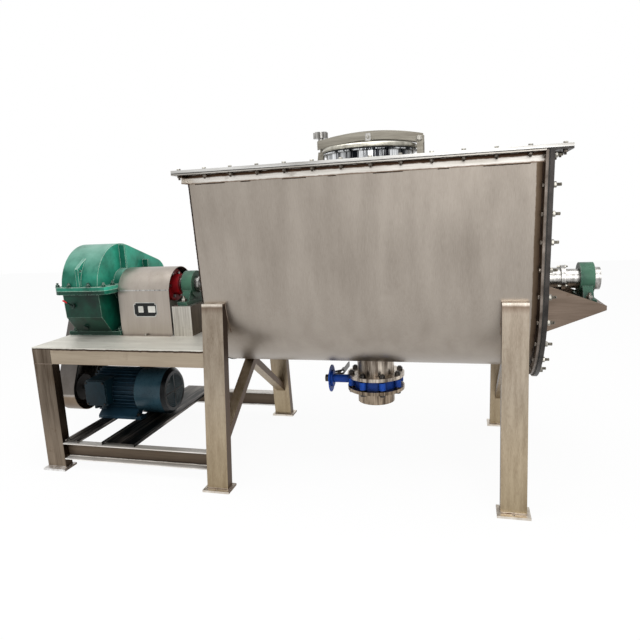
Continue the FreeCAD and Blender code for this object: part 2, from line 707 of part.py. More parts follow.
def gaskets():
    """Rubber seals of the end flange, the lid and the manhole."""
    made = body("gaskets")
    end = sketch(made, "YZ", "seal_start")
    end.setExpression("AttachmentOffset.Base.y", formula("shaft_height"))
    pad(made, outline(end, ring_steps("shell_wall + seal_width", "0")), "seal_plate")
    frame_ring(made, "lid_seal", "lid_border", "trough_top")
    ring = circle(sketch(made, "XY", "ring_top"), "vessel_middle", "0", "manhole_ring - ring_plate")
    circle(ring, "vessel_middle", "0", "manhole_radius - manhole_wall")
    pad(made, ring, "cover_seal")


def manhole_cover():
    """Dished cover with its rim and the centre bolt that hangs it from the arm."""
    made = body("manhole_cover", x="vessel_middle", z="cover_bottom")
    dome = "(cover_rim + cover_dome)"
    edge = "manhole_ring - cover_rim / 4"
    section = outline(sketch(made, "XZ"), [
        (edge, "0"), ("manhole_ring", "0.3 * cover_rim"), ("manhole_ring", "0.7 * cover_rim"),
        (edge, "cover_rim"),
        ("manhole_radius - cover_rim", "cover_rim"), ("2 * pillar_radius", dome),
        ("pillar_radius", dome), ("pillar_radius", dome + " + pillar_length"),
        ("0", dome + " + pillar_length"), ("0", dome + " - cover_sheet"),
        ("2 * pillar_radius", dome + " - cover_sheet"),
        ("manhole_radius - cover_rim", "cover_rim - cover_sheet"),
        ("manhole_radius - manhole_wall - cover_sheet", "cover_rim - cover_sheet"),
        ("manhole_radius - manhole_wall - cover_sheet", "0")])
    turn(made, section, "V_Axis")


ARM_CHORD = "(arm_reach + hinge_reach + arm_tail)"
ARM_RADIUS = "((" + ARM_CHORD + "^2 / 4 + arm_rise^2) / (2 * arm_rise))"
ARM_MIDDLE = "((hinge_reach + arm_tail - arm_reach) / 2)"
ARM_CENTRE = "(arm_end + arm_rise - " + ARM_RADIUS + ")"


def manhole_arm():
    """Two arched flat bars with the plate that holds the cover and the fork of the swing bolt."""
    made = body("manhole_arm", x="vessel_middle", z="lid_top")
    low = "(" + ARM_CENTRE + " + sqrt((" + ARM_RADIUS + " - arm_depth)^2 - (" + ARM_CHORD + " / 2)^2))"
    left, right = "-arm_reach", "hinge_reach + arm_tail"
    bar = outline(sketch(made, "XZ", "arm_spread"), [
        (right, "arm_end"), (left, "arm_end", ARM_MIDDLE, ARM_CENTRE, 1),
        (left, low), (right, low, ARM_MIDDLE, ARM_CENTRE, -1)])
    one = pad(made, bar, "arm_bar", both=True)
    hole = circle(sketch(made, "XZ", "arm_spread"), "hinge_reach", "hinge_rise",
                  "hinge_pin_radius + running_fit")
    bore = pocket(made, hole, "2 * arm_bar", both=True)
    mirror(made, [one, bore], "XZ")
    middle = rectangle(sketch(made, "XZ"), "-2 * pillar_radius", "2 * pillar_radius",
                       "pillar_seat", "pillar_seat + arm_bar")
    pad(made, middle, "2 * arm_spread", both=True)
    pocket(made, circle(sketch(made, "XY"), "0", "0", "pillar_radius + free_gap"), None, flip=True)
    fork = rectangle(sketch(made, "XZ"), left, "-swing_reach + 2 * swing_eye",
                     "fork_height - arm_bar", "fork_height")
    pad(made, fork, "2 * arm_spread", both=True)
    slot = rectangle(sketch(made, "XY"), "-arm_reach - arm_bar", "-swing_reach + swing_radius + fork_play",
                     "-swing_radius - fork_play", "swing_radius + fork_play")
    pocket(made, slot, None, flip=True)


def lid_lugs():
    """Hinge lugs with their pin, and the lugs and pin of the swing bolt, welded on the lid."""
    made = body("lid_lugs", x="vessel_middle", z="lid_top")
    place = "arm_spread + arm_bar / 2 + free_gap + lug_plate / 2"
    lug = outline(sketch(made, "XZ", place), [
        ("hinge_reach + arm_tail", "hinge_rise"),
        ("hinge_reach - lug_front", "hinge_rise + 2 * hinge_pin_radius"),
        ("hinge_reach - lug_front", "0"), ("hinge_reach + arm_tail", "0")])
    one = pad(made, lug, "lug_plate", both=True)
    mirror(made, [one], "XZ")
    pin = circle(sketch(made, "XZ"), "hinge_reach", "hinge_rise", "hinge_pin_radius")
    pad(made, pin, "2 * (" + place + ") + 3 * lug_plate", both=True)
    ear = outline(sketch(made, "XZ", "swing_radius + free_gap + swing_ear / 2"), [
        ("-swing_reach + swing_eye", "swing_rise + swing_eye"),
        ("-swing_reach - swing_eye", "swing_rise + swing_eye"),
        ("-swing_reach - 2 * swing_eye", "0"), ("-swing_reach + swing_eye", "0")])
    two = pad(made, ear, "swing_ear", both=True)
    mirror(made, [two], "XZ")
    swing_pin = circle(sketch(made, "XZ"), "-swing_reach", "swing_rise", "swing_pin")
    pad(made, swing_pin, "2 * (swing_radius + free_gap + swing_ear) + swing_pin", both=True)


def swing_bolt():
    made = body("swing_bolt", x="vessel_middle - swing_reach", z="lid_top + swing_rise")
    eye = circle(sketch(made, "XZ"), "0", "0", "swing_eye")
    pad(made, eye, "1.8 * swing_radius", both=True)
    pad(made, circle(sketch(made, "XY"), "0", "0", "swing_radius"), "swing_length")
    bore(made, "XZ", "swing_pin + running_fit", "4 * swing_eye")


def star_knob():
    made = body("star_knob", x="vessel_middle - swing_reach", z="lid_top + fork_height + 3 * free_gap")
    pad(made, circle(sketch(made, "XY"), "0", "0", "knob_hub"), "knob_stand")
    head = pad(made, circle(sketch(made, "XY", "knob_stand"), "0", "0", "knob_radius"), "knob_height")
    notch = circle(sketch(made, "XY"), "knob_radius * 1.15", "0", "knob_radius * 0.42")
    cut = pocket(made, notch, None, flip=True)
    polar(made, [cut], "Z", "5")
    pocket(made, circle(sketch(made, "XY"), "0", "0", "swing_radius + running_fit"),
           "fork_reach_in_knob", flip=True)


def bolt_circle(plane_sketch):
    """First hole of the outlet bolts, half a step off the shaft line."""
    return circle(plane_sketch, "valve_bolt_circle * cos(180 / valve_bolt_count)",
                  "valve_bolt_circle * sin(180 / valve_bolt_count)", "valve_bolt_radius + free_gap")


def outlet_neck():
    """Pipe from the vessel floor, cut to the shell, with the upper flange."""
    made = body("outlet_neck", x="vessel_middle", z="valve_top")
    top = "shaft_height - valve_top - shell_radius + 4 * shell_wall"
    section = outline(sketch(made, "XZ"), [
        ("pipe_flange", "0"), ("pipe_flange", "pipe_flange_plate"), ("pipe_radius", "pipe_flange_plate"),
        ("pipe_radius", top), ("pipe_radius - pipe_wall", top), ("pipe_radius - pipe_wall", "0")])
    turn(made, section, "V_Axis")
    pocket(made, circle(sketch(made, "YZ"), "0", "shaft_height - valve_top", "shell_radius"),
           "3 * pipe_radius", both=True)
    hole = pocket(made, bolt_circle(sketch(made, "XY")), "2 * pipe_flange_plate", flip=True)
    polar(made, [hole], "Z", "valve_bolt_count")


def outlet_spigot():
    made = body("outlet_spigot", x="vessel_middle", z="valve_bottom")
    low = "spigot_bottom - valve_bottom"
    section = outline(sketch(made, "XZ"), [
        ("pipe_flange", "-pipe_flange_plate"), ("pipe_flange", "0"), ("pipe_radius - pipe_wall", "0"),
        ("pipe_radius - pipe_wall", low), ("pipe_radius", low), ("pipe_radius", "-pipe_flange_plate")])
    turn(made, section, "V_Axis")
    hole = pocket(made, bolt_circle(sketch(made, "XY")), "2 * pipe_flange_plate")
    polar(made, [hole], "Z", "valve_bolt_count")


def valve_body():
    """Ring with bolt lugs, the neck for the stem and the boss of its far end."""
    made = body("valve_body", x="vessel_middle", z="valve_height")
    pad(made, circle(sketch(made, "XY"), "0", "0", "valve_radius"), "valve_length", both=True)
    spot = ("valve_bolt_circle * cos(180 / valve_bolt_count)", "valve_bolt_circle * sin(180 / valve_bolt_count)")
    lug = pad(made, circle(sketch(made, "XY"), spot[0], spot[1], "lug_radius"), "valve_length - 2 * lug_step",
              both=True)
    hole = pocket(made, bolt_circle(sketch(made, "XY")), "2 * valve_length", both=True)
    polar(made, [lug, hole], "Z", "valve_bolt_count")
    pad(made, circle(sketch(made, "YZ"), "0", "0", "valve_neck"), "neck_reach", flip=True)
    pad(made, circle(sketch(made, "YZ", "-neck_reach"), "0", "0", "2 * valve_neck"), "neck_plate")
    pad(made, circle(sketch(made, "YZ"), "0", "0", "valve_neck"), "valve_radius + neck_plate")
    bore(made, "XY", "seat_radius + seat_wall", "2 * valve_length")
    stem_hole = circle(sketch(made, "YZ"), "0", "0", "stem_radius + running_fit")
    pocket(made, stem_hole, "neck_reach * 2", flip=False)
    pocket(made, circle(sketch(made, "YZ"), "0", "0", "stem_radius + running_fit"), "valve_radius", flip=True)


def valve_seat():
    made = body("valve_seat", x="vessel_middle", z="valve_height")
    ring = circle(sketch(made, "XY"), "0", "0", "seat_radius + seat_wall")
    circle(ring, "0", "0", "seat_radius")
    pad(made, ring, "valve_length", both=True)
    bore(made, "YZ", "stem_radius + running_fit", "3 * seat_radius")


def valve_disc():
    """Lens-shaped disc with the boss that the stem goes through."""
    made = body("valve_disc", x="vessel_middle", z="valve_height")
    edge = "seat_radius - free_gap"
    section = outline(sketch(made, "XZ"), [
        (edge, "-disc_plate / 2"), (edge, "disc_plate / 2"), ("stem_radius * 2", "disc_middle"),
        ("0", "disc_middle"), ("0", "-disc_middle"), ("stem_radius * 2", "-disc_middle")])
    turn(made, section, "V_Axis")
    boss = circle(sketch(made, "YZ"), "0", "0", "stem_radius * 1.6")
    pad(made, boss, "2 * sqrt(seat_radius^2 - (stem_radius * 1.6)^2) - 4 * free_gap", both=True)
    bore(made, "YZ", "stem_radius + running_fit", "3 * seat_radius")


def valve_stem():
    made = body("valve_stem", x="vessel_middle", z="valve_height")
    reach = "neck_reach + notch_plate + lever_hub"
    section = rectangle(sketch(made, "XZ"), "-(" + reach + ")", "valve_radius - free_gap", "0", "stem_radius")
    turn(made, section)


def notch_plate():
    """Round plate on the neck with a notch for the latch at every step of a quarter turn."""
    made = body("notch_plate", x="vessel_middle - neck_reach", z="valve_height")
    disc = circle(sketch(made, "YZ"), "0", "0", "notch_radius")
    circle(disc, "0", "0", "stem_radius + free_gap")
    pad(made, disc, "notch_plate", flip=True)
    cut = rectangle(sketch(made, "YZ"), "notch_radius - notch_depth", "notch_radius + notch_depth",
                    "-tooth_half - free_gap", "tooth_half + free_gap")
    notch = pocket(made, cut, "4 * notch_plate", both=True)
    steps = polar(made, [notch], "X", "notch_count")
    steps.Angle = 90
    steps.Reversed = True


def valve_lever():
    """Hub and cranked flat bar, slotted for the latch."""
    made = body("valve_lever", x="vessel_middle", z="valve_height")
    face = "-(neck_reach + notch_plate + free_gap"
    near, far = face + " + lever_hub)", face + ")"
    hub = circle(sketch(made, "YZ", far), "0", "0", "2 * stem_radius")
    pad(made, hub, "lever_hub - free_gap", flip=True)
    low = near + " + lever_plate"
    bar = outline(sketch(made, "XY"), [
        (low, "0"), (low, "notch_radius"), (low + " + lever_offset", "notch_radius + lever_rise"),
        (low + " + lever_offset", "lever_length"),
        (low + " + lever_offset + lever_plate", "lever_length"),
        (low + " + lever_offset + lever_plate", "notch_radius + lever_rise"),
        (low + " + lever_plate", "notch_radius - lever_plate / 2"), (low + " + lever_plate", "0")])
    pad(made, bar, "lever_width", both=True)
    slot = rectangle(sketch(made, "XY"), near + " - lever_hub", low + " + lever_offset + 3 * lever_plate",
                     "notch_radius - 2 * notch_depth", "notch_radius + lever_rise + 2 * lever_plate")
    pocket(made, slot, "2 * tooth_half + 2 * lever_play", both=True)
    pocket(made, circle(sketch(made, "YZ"), "0", "0", "stem_radius + running_fit"), None, flip=False)
    pin = circle(sketch(made, "XY"), "-latch_line", "latch_pivot", "latch_pin")
    pad(made, pin, "lever_width", both=True)


def latch_trigger():
    """Squeeze bar on its pin, its tooth in a notch of the plate."""
    made = body("latch_trigger", x="vessel_middle - latch_line", y="latch_pivot", z="valve_height")
    tooth = "latch_line - neck_reach - notch_plate"
    bar = outline(sketch(made, "XY"), [
        ("latch_plate", "-latch_plate"), ("latch_plate", "latch_reach"), ("-latch_plate", "latch_reach"),
        ("-latch_plate", "latch_plate"),
        (tooth + " - latch_plate", "notch_radius - latch_pivot - free_gap"),
        (tooth + " - latch_plate", "notch_radius - latch_pivot - notch_depth + 2 * free_gap"),
        (tooth + " + notch_plate - 2 * free_gap", "notch_radius - latch_pivot - notch_depth + 2 * free_gap"),
        (tooth + " + notch_plate - 2 * free_gap", "notch_radius - latch_pivot + latch_plate")])
    pad(made, bar, "2 * tooth_half", both=True)
    bore(made, "XY", "latch_pin + running_fit", "4 * lever_width")


def valve_bolts():
    """Bolts through both flanges and the lugs, with head and nut."""
    up = FreeCAD.Vector(0, 0, 1)
    count, ring = int(size("valve_bolt_count")), size("valve_bolt_circle")
    radius = size("valve_bolt_radius")
    low, high = size("valve_bottom - pipe_flange_plate"), size("valve_top + pipe_flange_plate")
    solids = []
    for index in range(count):
        angle = math.pi * (2 * index + 1) / count
        x, y = size("vessel_middle") + ring * math.cos(angle), ring * math.sin(angle)
        head = prism(3 * radius, 1.3 * radius, FreeCAD.Vector(x, y, low), -up)
        nut = prism(3 * radius, 1.6 * radius, FreeCAD.Vector(x, y, high), up)
        shank = Part.makeCylinder(radius, high - low + 2.2 * radius, FreeCAD.Vector(x, y, low), up)
        solids.append(head.fuse([shank, nut]).removeSplitter())
    shaped("valve_bolts", Part.makeCompound(solids))


def turned(label, profiles, z="shaft_height", x="0", y="0"):
    """Turned sub-part: each profile lists (x, radius) points about the X axis."""
    made = body(label, x=x, y=y, z=z)
    drawn = sketch(made, "XZ")
    for points in profiles:
        outline(drawn, points)
    turn(made, drawn)
    return made


def ring_profile(start, end, inner, outer):
    return [(end, inner), (end, outer), (start, outer), (start, inner)]


def main_shaft():
    taper = "(mid_radius - end_radius) / 2"
    start, end = "shell_start + drive_plate", "cover_start - drive_plate"
    turned("main_shaft", [[
        ("shaft_tip", "0"), ("shaft_tip", "end_radius"), (end, "end_radius"),
        (end + " - " + taper, "mid_radius"), (start + " + " + taper, "mid_radius"),
        (start, "end_radius"), ("coupling_middle + coupling_gap / 2", "end_radius"),
        ("coupling_middle + coupling_gap / 2", "0")]])


def coupling_half(label, side, bore, hole):
    """Flange and hub; side is +1 towards the vessel and -1 towards the reducer."""
    sign = "+" if side > 0 else "-"
    made = body(label, x="coupling_middle %s coupling_gap / 2" % sign, z="shaft_height")
    drawn = sketch(made, "XZ")
    minus = "" if side > 0 else "-"
    far, face = minus + "coupling_length", minus + "coupling_flange"
    outline(drawn, [("0", bore), (far, bore), (far, "coupling_hub"), (face, "coupling_hub"),
                    (face, "coupling_radius"), ("0", "coupling_radius")])
    turn(made, drawn)
    cut = circle(sketch(made, "YZ"), "coupling_circle", "0", hole)
    one = pocket(made, cut, "4 * coupling_flange", both=True)
    polar(made, [one], "X", "coupling_pins")


def coupling_pins():
    """Steel pins in the vessel half, their rubber bushes in the reducer half."""
    made = body("coupling_pins", x="coupling_middle", z="shaft_height")
    reach = "coupling_flange + coupling_gap / 2"
    one = pad(made, circle(sketch(made, "YZ", "-(" + reach + ")"), "coupling_circle", "0", "coupling_pin"),
              "2 * (" + reach + ") + coupling_pin")
    bush = circle(sketch(made, "YZ", "-(" + reach + ")"), "coupling_circle", "0", "coupling_bush")
    two = pad(made, bush, "coupling_flange")
    polar(made, [one, two], "X", "coupling_pins")


def bearing_rings():
    """Inner rings that turn with the shaft, the tail one with the shaft end collar."""
    bore = "end_radius + running_fit"
    drive = ring_profile("drive_bearing - ring_half", "drive_bearing + ring_half", bore, "ring_radius")
    step = "tail_bearing + bearing_width / 2 + free_gap"
    tail = [("shaft_tip", bore), ("shaft_tip", "collar_radius"), (step, "collar_radius"),
            (step, "ring_radius"), ("tail_bearing - ring_reach", "ring_radius"),
            ("tail_bearing - ring_reach", bore)]
    turned("bearing_rings", [drive, tail])


def bearing_housing(made, place):
    """Pillow block: base with bolt holes, web and round head."""
    middle = sketch(made, "YZ", place)
    rectangle(middle, "-bearing_base", "bearing_base", "-bearing_seat", "base_plate - bearing_seat")
    pad(made, middle, "base_width", both=True)
    web = outline(sketch(made, "YZ", place), [
        ("0.75 * bearing_base", "base_plate - bearing_seat"), ("bearing_head * 0.94", "-bearing_head * 0.34"),
        ("-bearing_head * 0.94", "-bearing_head * 0.34"),
        ("-0.75 * bearing_base", "base_plate - bearing_seat")])
    pad(made, web, "0.8 * base_width", both=True)
    pad(made, circle(sketch(made, "YZ", place), "0", "0", "bearing_head"), "bearing_width", both=True)
    holes = sketch(made, "XY", "-bearing_seat")
    for sign in ("-", ""):
        circle(holes, place, sign + "0.84 * bearing_base", "bearing_bolt")
    pocket(made, holes, "2 * base_plate", flip=True)


def bearing_housings():
    made = body("bearing_housings", z="shaft_height")
    for place in ("drive_bearing", "tail_bearing"):
        bearing_housing(made, place)
    bore(made, "YZ", "ring_radius + running_fit", "4 * lid_end")


def gland_profiles(face, sign):
    """Neck, packing and follower outlines of one end, outward from a plate face."""
    def at(text):
        return face + " " + sign + " (" + text + ")"
    neck = [(at("0"), "packing_radius"), (at("0"), "neck_radius + gland_flange"),
            (at("drive_plate"), "neck_radius + gland_flange"), (at("drive_plate"), "neck_radius"),
            (at("gland_length"), "neck_radius"), (at("gland_length"), "packing_radius")]
    packing = [(at("0"), "end_radius + running_fit"), (at("0"), "packing_radius"),
               (at("packing_length"), "packing_radius"), (at("packing_length"), "end_radius + running_fit")]
    follower = [(at("packing_length + free_gap"), "end_radius + free_gap"),
                (at("packing_length + free_gap"), "packing_radius - free_gap"),
                (at("gland_length + follower_gap"), "packing_radius - free_gap"),
                (at("gland_length + follower_gap"), "follower_radius"),
                (at("gland_length + follower_plate"), "follower_radius"),
                (at("gland_length + follower_plate"), "end_radius + free_gap")]
    return neck, packing, follower


def glands():
    drive = gland_profiles("trough_start", "-")
    tail = gland_profiles("cover_face", "+")
    turned("gland_necks", [drive[0], tail[0]])
    turned("gland_packings", [drive[1], tail[1]])
    turned("gland_followers", [drive[2], tail[2]])


def plough_template():
    """One plough: two wings meeting at the nose, open to the wall and to the rear."""
    made = hidden(body("plough"))
    outer = "trough_radius - plough_gap"
    def share(offset, wide, nose, heel, waist):
        drawn = sketch(made, "XY", offset)
        return outline(drawn, [(wide, "-" + heel), (wide, waist), ("0", nose), ("-" + wide, waist),
                               ("-" + wide, "-" + heel)])
    half, heel, nose = "(plough_width / 2)", "(0.45 * plough_length)", "(0.55 * plough_length)"
    top, low = outer + " - plough_height", outer + " + plough_sheet"
    loft = made.newObject("PartDesign::AdditiveLoft", "plough_body")
    loft.Profile = share(low, half, nose, heel, "-0.1 * plough_length")
    loft.Sections = [share(top, "(plough_width / 5)", "(0.16 * plough_length)", "(0.3 * plough_length)",
                           "-0.05 * plough_length")]
    loft.Ruled = True
    inside = made.newObject("PartDesign::SubtractiveLoft", "plough_inside")
    inside.Profile = share(low + " + plough_sheet", "(plough_width / 2 - plough_sheet)",
                           "(0.55 * plough_length - 2.5 * plough_sheet)", "plough_length",
                           "-0.1 * plough_length - plough_sheet")
    inside.Sections = [share(top + " + plough_sheet", "(plough_width / 5 - plough_sheet)",
                             "(0.16 * plough_length - plough_sheet)", "plough_length",
                             "-0.05 * plough_length - plough_sheet")]
    inside.Ruled = True
    circle_cut = outline(sketch(made, "YZ"), [
        ("-(" + outer + ")", "0"), (outer, "0", "0", "0", -1), ("2 * trough_radius", "0"),
        ("2 * trough_radius", "2 * trough_radius"), ("-2 * trough_radius", "2 * trough_radius"),
        ("-2 * trough_radius", "0")])
    pocket(made, circle_cut, "2 * plough_width", both=True)
    return made


def arm_template():
    """Round arm with its socket on the shaft, up to the plough."""
    made = hidden(body("plough_arm"))
    pad(made, circle(sketch(made, "XY"), "0", "0", "hub_radius"), "mid_radius + hub_radius")
    pad(made, circle(sketch(made, "XY"), "0", "0", "arm_radius"), "trough_radius - plough_gap - plough_height")
    bore(made, "YZ", "mid_radius", "4 * hub_radius")
    return made


def round_the_shaft(label, template):
    """Copies of a template along the shaft, turned on by two steps of the circle each time."""
    count = int(size("plough_count"))
    length = size("cover_start - shell_start")
    copies = []
    for index in range(count):
        copy = template.Shape.copy()
        place = FreeCAD.Vector(size("shell_start") + length * (index + 0.5) / count, 0, size("shaft_height"))
        spin = FreeCAD.Rotation(FreeCAD.Vector(1, 0, 0), -360 * 2 * index / count + size("agitator_phase"))
        copy.Placement = FreeCAD.Placement(place, spin)
        copies.append(copy)
    shaped(label, Part.makeCompound(copies))


def gear(module, teeth, face, bore, phase=0.0):
    """Spur gear about the X axis with straight-sided teeth cut inside the involute of 20 degrees."""
    pitch = module * teeth / 2
    tip, root, base = pitch + module, pitch - 1.25 * module, pitch * math.cos(math.radians(20))
    def half_width(radius):
        """Half tooth angle at a radius."""
        lead = math.sqrt(max((radius / base) ** 2 - 1, 0))
        involute = lead - math.atan(lead)
        at_pitch = math.tan(math.radians(20)) - math.radians(20)
        return (math.pi / 2 - size("backlash") / module) / teeth + at_pitch - involute
    spots = []
    for index in range(teeth):
        middle = phase + 2 * math.pi * index / teeth
        for radius, side in ((root, -1), (tip, -1), (tip, 1), (root, 1)):
            angle = middle + side * half_width(max(radius, base))
            spots.append(FreeCAD.Vector(-face / 2, radius * math.cos(angle), radius * math.sin(angle)))
    solid = Part.Face(Part.makePolygon(spots + spots[:1])).extrude(FreeCAD.Vector(face, 0, 0))
    if bore:
        start = FreeCAD.Vector(-face, 0, 0)
        solid = solid.cut(Part.makeCylinder(bore, 2 * face, start, FreeCAD.Vector(1, 0, 0)))
    return solid


def rod(radius, start, end):
    return Part.makeCylinder(radius, end - start, FreeCAD.Vector(start, 0, 0), FreeCAD.Vector(1, 0, 0))


def moved(solid, x):
    solid.translate(FreeCAD.Vector(x, 0, 0))
    return solid


def reducer_shafts():
    """Output, middle and input shafts with their gears, in mesh."""
    boss = size("boss_half")
    slow, fast = size("slow_offset"), size("fast_offset")
    output = rod(size("output_radius"), -boss, size("coupling_middle - coupling_gap / 2 - reducer_middle"))
    wheel = gear(size("slow_module"), int(size("slow_wheel")), size("slow_face"), size("output_radius"))
    parts = Part.makeCompound([output, moved(wheel, slow)])
    shaped("output_shaft", parts, "reducer_middle", "0", "shaft_height")
    phase = math.pi / int(size("slow_pinion"))
    pinion = gear(size("slow_module"), int(size("slow_pinion")), size("slow_face + 2 * backlash"), 0, phase)
    shaft = rod(size("middle_radius"), -boss, boss)
    shaft = shaft.fuse(moved(pinion, slow))
    wheel = gear(size("fast_module"), int(size("fast_wheel")), size("fast_face"), size("middle_radius"))
    parts = Part.makeCompound([shaft.removeSplitter(), moved(wheel, fast)])
    shaped("middle_shaft", parts, "reducer_middle", "slow_centres", "shaft_height")
    teeth = int(size("fast_pinion"))
    phase = math.pi - math.pi / teeth
    pinion = gear(size("fast_module"), teeth, size("fast_face + 2 * backlash"), 0, phase)
    shaft = rod(size("input_radius"), size("belt_plane - pulley_face / 2 - reducer_middle"), boss)
    shaped("input_shaft", shaft.fuse(moved(pinion, fast)).removeSplitter(), "reducer_middle", "input_shift",
           "shaft_height")


SHAFTS = [
    ("0", "output_radius", "bearing_big", "boss_big"),
    ("slow_centres", "middle_radius", "bearing_mid", "boss_mid"),
    ("input_shift", "input_radius", "bearing_small", "boss_small"),
]


def case_bearings():
    """Rolling bearings of the three shafts, in both side walls."""
    solids = []
    for y, shaft, outer, boss in SHAFTS:
        for side in (-1, 1):
            start = size("case_half - case_wall")
            end, over = start + size("bearing_face"), size("free_gap")
            ring = rod(size(outer), start, end)
            ring = ring.cut(rod(size(shaft + " + running_fit"), start - over, end + over))
            if side < 0:
                ring = ring.mirror(FreeCAD.Vector(0, 0, 0), FreeCAD.Vector(1, 0, 0))
            ring.translate(FreeCAD.Vector(0, size(y), 0))
            solids.append(ring)
    shaped("case_bearings", Part.makeCompound(solids), "reducer_middle", "0", "shaft_height")


def bearing_caps():
    """Round caps on the six bosses, two of them with a shaft coming through."""
    made = body("bearing_caps", x="reducer_middle", z="shaft_height")
    for y, shaft, outer, boss in SHAFTS:
        for flip in (False, True):
            place = "-boss_half" if flip else "boss_half"
            drawn = circle(sketch(made, "YZ", place), y, "0", boss + " - cap_inset")
            circle(drawn, y, "0", shaft + " + free_gap")
            pad(made, drawn, "cap_plate", flip=flip)


def vessel_legs():
    """Two welded frames: a pair of sloped box legs with foot plates, and braces under the vessel."""
    made = body("vessel_legs")
    slope = "leg_slope"

    def leg(drawn, sign, wall):
        """Side view of a leg, its inner end coped to the shell."""
        radius = "(shell_radius + %s)" % wall
        outer = "(leg_foot - %s)" % wall
        inner = "(leg_foot - leg_depth + %s)" % wall
        reach = "(%s - %s * (shaft_height - foot_plate))" % (inner, slope)
        meet = "((%s * %s - sqrt(%s^2 * (1 + %s^2) - %s^2)) / (1 + %s^2))" % (
            reach, slope, radius, slope, reach, slope)
        top = "(leg_top - %s)" % wall
        meet_y = "%s(%s - %s * %s)" % (sign, reach, slope, meet)
        top_y = "%ssqrt(%s^2 - (shaft_height - %s)^2)" % (sign, radius, top)
        turn_way = 1 if sign == "" else -1
        outline(drawn, [
            (sign + outer, "foot_plate"),
            (sign + "(%s - %s * (%s - foot_plate))" % (outer, slope, top), top),
            (top_y, top), (meet_y, "shaft_height + " + meet, "0", "shaft_height", -turn_way),
            (sign + inner, "foot_plate")])

    solid = sketch(made, "YZ", "leg_spacing / 2")
    hollow = sketch(made, "YZ", "leg_spacing / 2")
    for sign in ("", "-"):
        leg(solid, sign, "0")
        leg(hollow, sign, "leg_wall")
    legs = pad(made, solid, "leg_width", both=True)
    inside = pocket(made, hollow, "leg_width - 2 * leg_wall", both=True)
    feet = sketch(made, "XY")
    for sign in ("", "-"):
        near, far = sign + "(leg_foot - leg_depth - foot_back)", sign + "(leg_foot + foot_lip)"
        rectangle(feet, "(leg_spacing - foot_width) / 2", "(leg_spacing + foot_width) / 2",
                  *((near, far) if sign == "" else (far, near)))
        circle(feet, "leg_spacing / 2", sign + "(leg_foot + anchor_offset)", "anchor_radius")
    plates = pad(made, feet, "foot_plate")
    foot_y = "(leg_foot - leg_depth - %s * (%s - foot_plate))"
    low, high = "brace_foot", "(brace_foot + 1.4 * brace_depth)"
    crown = "(shaft_height - shell_radius)"
    brace = outline(sketch(made, "YZ", "leg_spacing / 2"), [
        (foot_y % (slope, low), low), (foot_y % (slope, high), high), ("0", crown + " + 0.2 * brace_depth"),
        ("-" + foot_y % (slope, high), high), ("-" + foot_y % (slope, low), low),
        ("0", crown + " - 1.2 * brace_depth")])
    braces = pad(made, brace, "brace_width", both=True)
    cope = pocket(made, circle(sketch(made, "YZ"), "0", "shaft_height", "shell_radius"), None, flip=True)
    mirror(made, [legs, inside, plates, braces, cope], "YZ")


def table_deck():
    """Top plate on a folded frame, with two tabs that meet the vessel legs."""
    made = body("table_deck", z="table_under")
    right = "trough_start - apron_wall"
    plate = rectangle(sketch(made, "XY"), "table_left", right, "table_front", "table_back")
    pad(made, plate, "table_sheet")
    web = rectangle(sketch(made, "XY"), "table_left", right, "table_front", "table_back")
    inset = "apron_wall"
    rectangle(web, "table_left + " + inset, right + " - " + inset,
              "table_front + " + inset, "table_back - " + inset)
    pad(made, web, "apron_height", flip=True)
    lip = rectangle(sketch(made, "XY", "-apron_height"), "table_left", right, "table_front", "table_back")
    inset = "apron_width"
    rectangle(lip, "table_left + " + inset, right + " - " + inset,
              "table_front + " + inset, "table_back - " + inset)
    pad(made, lip, "apron_wall")
    tabs = sketch(made, "XY", "-apron_height")
    rectangle(tabs, right, "table_right", "table_front", "table_front + 2 * apron_width")
    rectangle(tabs, right, "table_right", "-table_front - 2 * apron_width", "-table_front")
    pad(made, tabs, "apron_height + table_sheet")


def table_legs():
    """Box legs at the free end, on foot plates with anchor holes."""
    made = body("table_legs", x="table_left + table_leg / 2")
    half = "table_leg / 2"
    hole = "(table_leg / 2 - leg_wall)"
    for face, low, high, lip, back, anchor in (
            ("table_front", "0", "leg_depth", "-foot_lip", "leg_depth + foot_back", "-anchor_offset"),
            ("table_back", "-leg_depth", "0", "-leg_depth - foot_back", "foot_lip", "anchor_offset")):
        place = face + " + (%s)"
        tube = rectangle(sketch(made, "XY", "foot_plate"), "-" + half, half, place % low, place % high)
        rectangle(tube, "-" + hole, hole, place % (low + " + leg_wall"), place % (high + " - leg_wall"))
        pad(made, tube, "apron_bottom - foot_plate")
        foot = rectangle(sketch(made, "XY"), "-foot_width / 2", "foot_width / 2", place % lip, place % back)
        circle(foot, "0", place % anchor, "anchor_radius")
        pad(made, foot, "foot_plate")


def lower_beams():
    """Channels between the table legs and the vessel legs, open outwards."""
    made = body("lower_beams", z="beam_bottom")
    left = "table_left + table_leg"
    section = sketch(made, "YZ", left)
    for face, sign in (("table_front", "+"), ("table_back", "-")):
        web = "%s %s beam_depth" % (face, sign)
        skin = "%s %s (beam_depth - apron_wall)" % (face, sign)
        outline(section, [
            (web, "0"), (web, "beam_height"), (face, "beam_height"), (face, "beam_height - apron_wall"),
            (skin, "beam_height - apron_wall"), (skin, "apron_wall"), (face, "apron_wall"), (face, "0")])
    pad(made, section, "table_right - (" + left + ")")


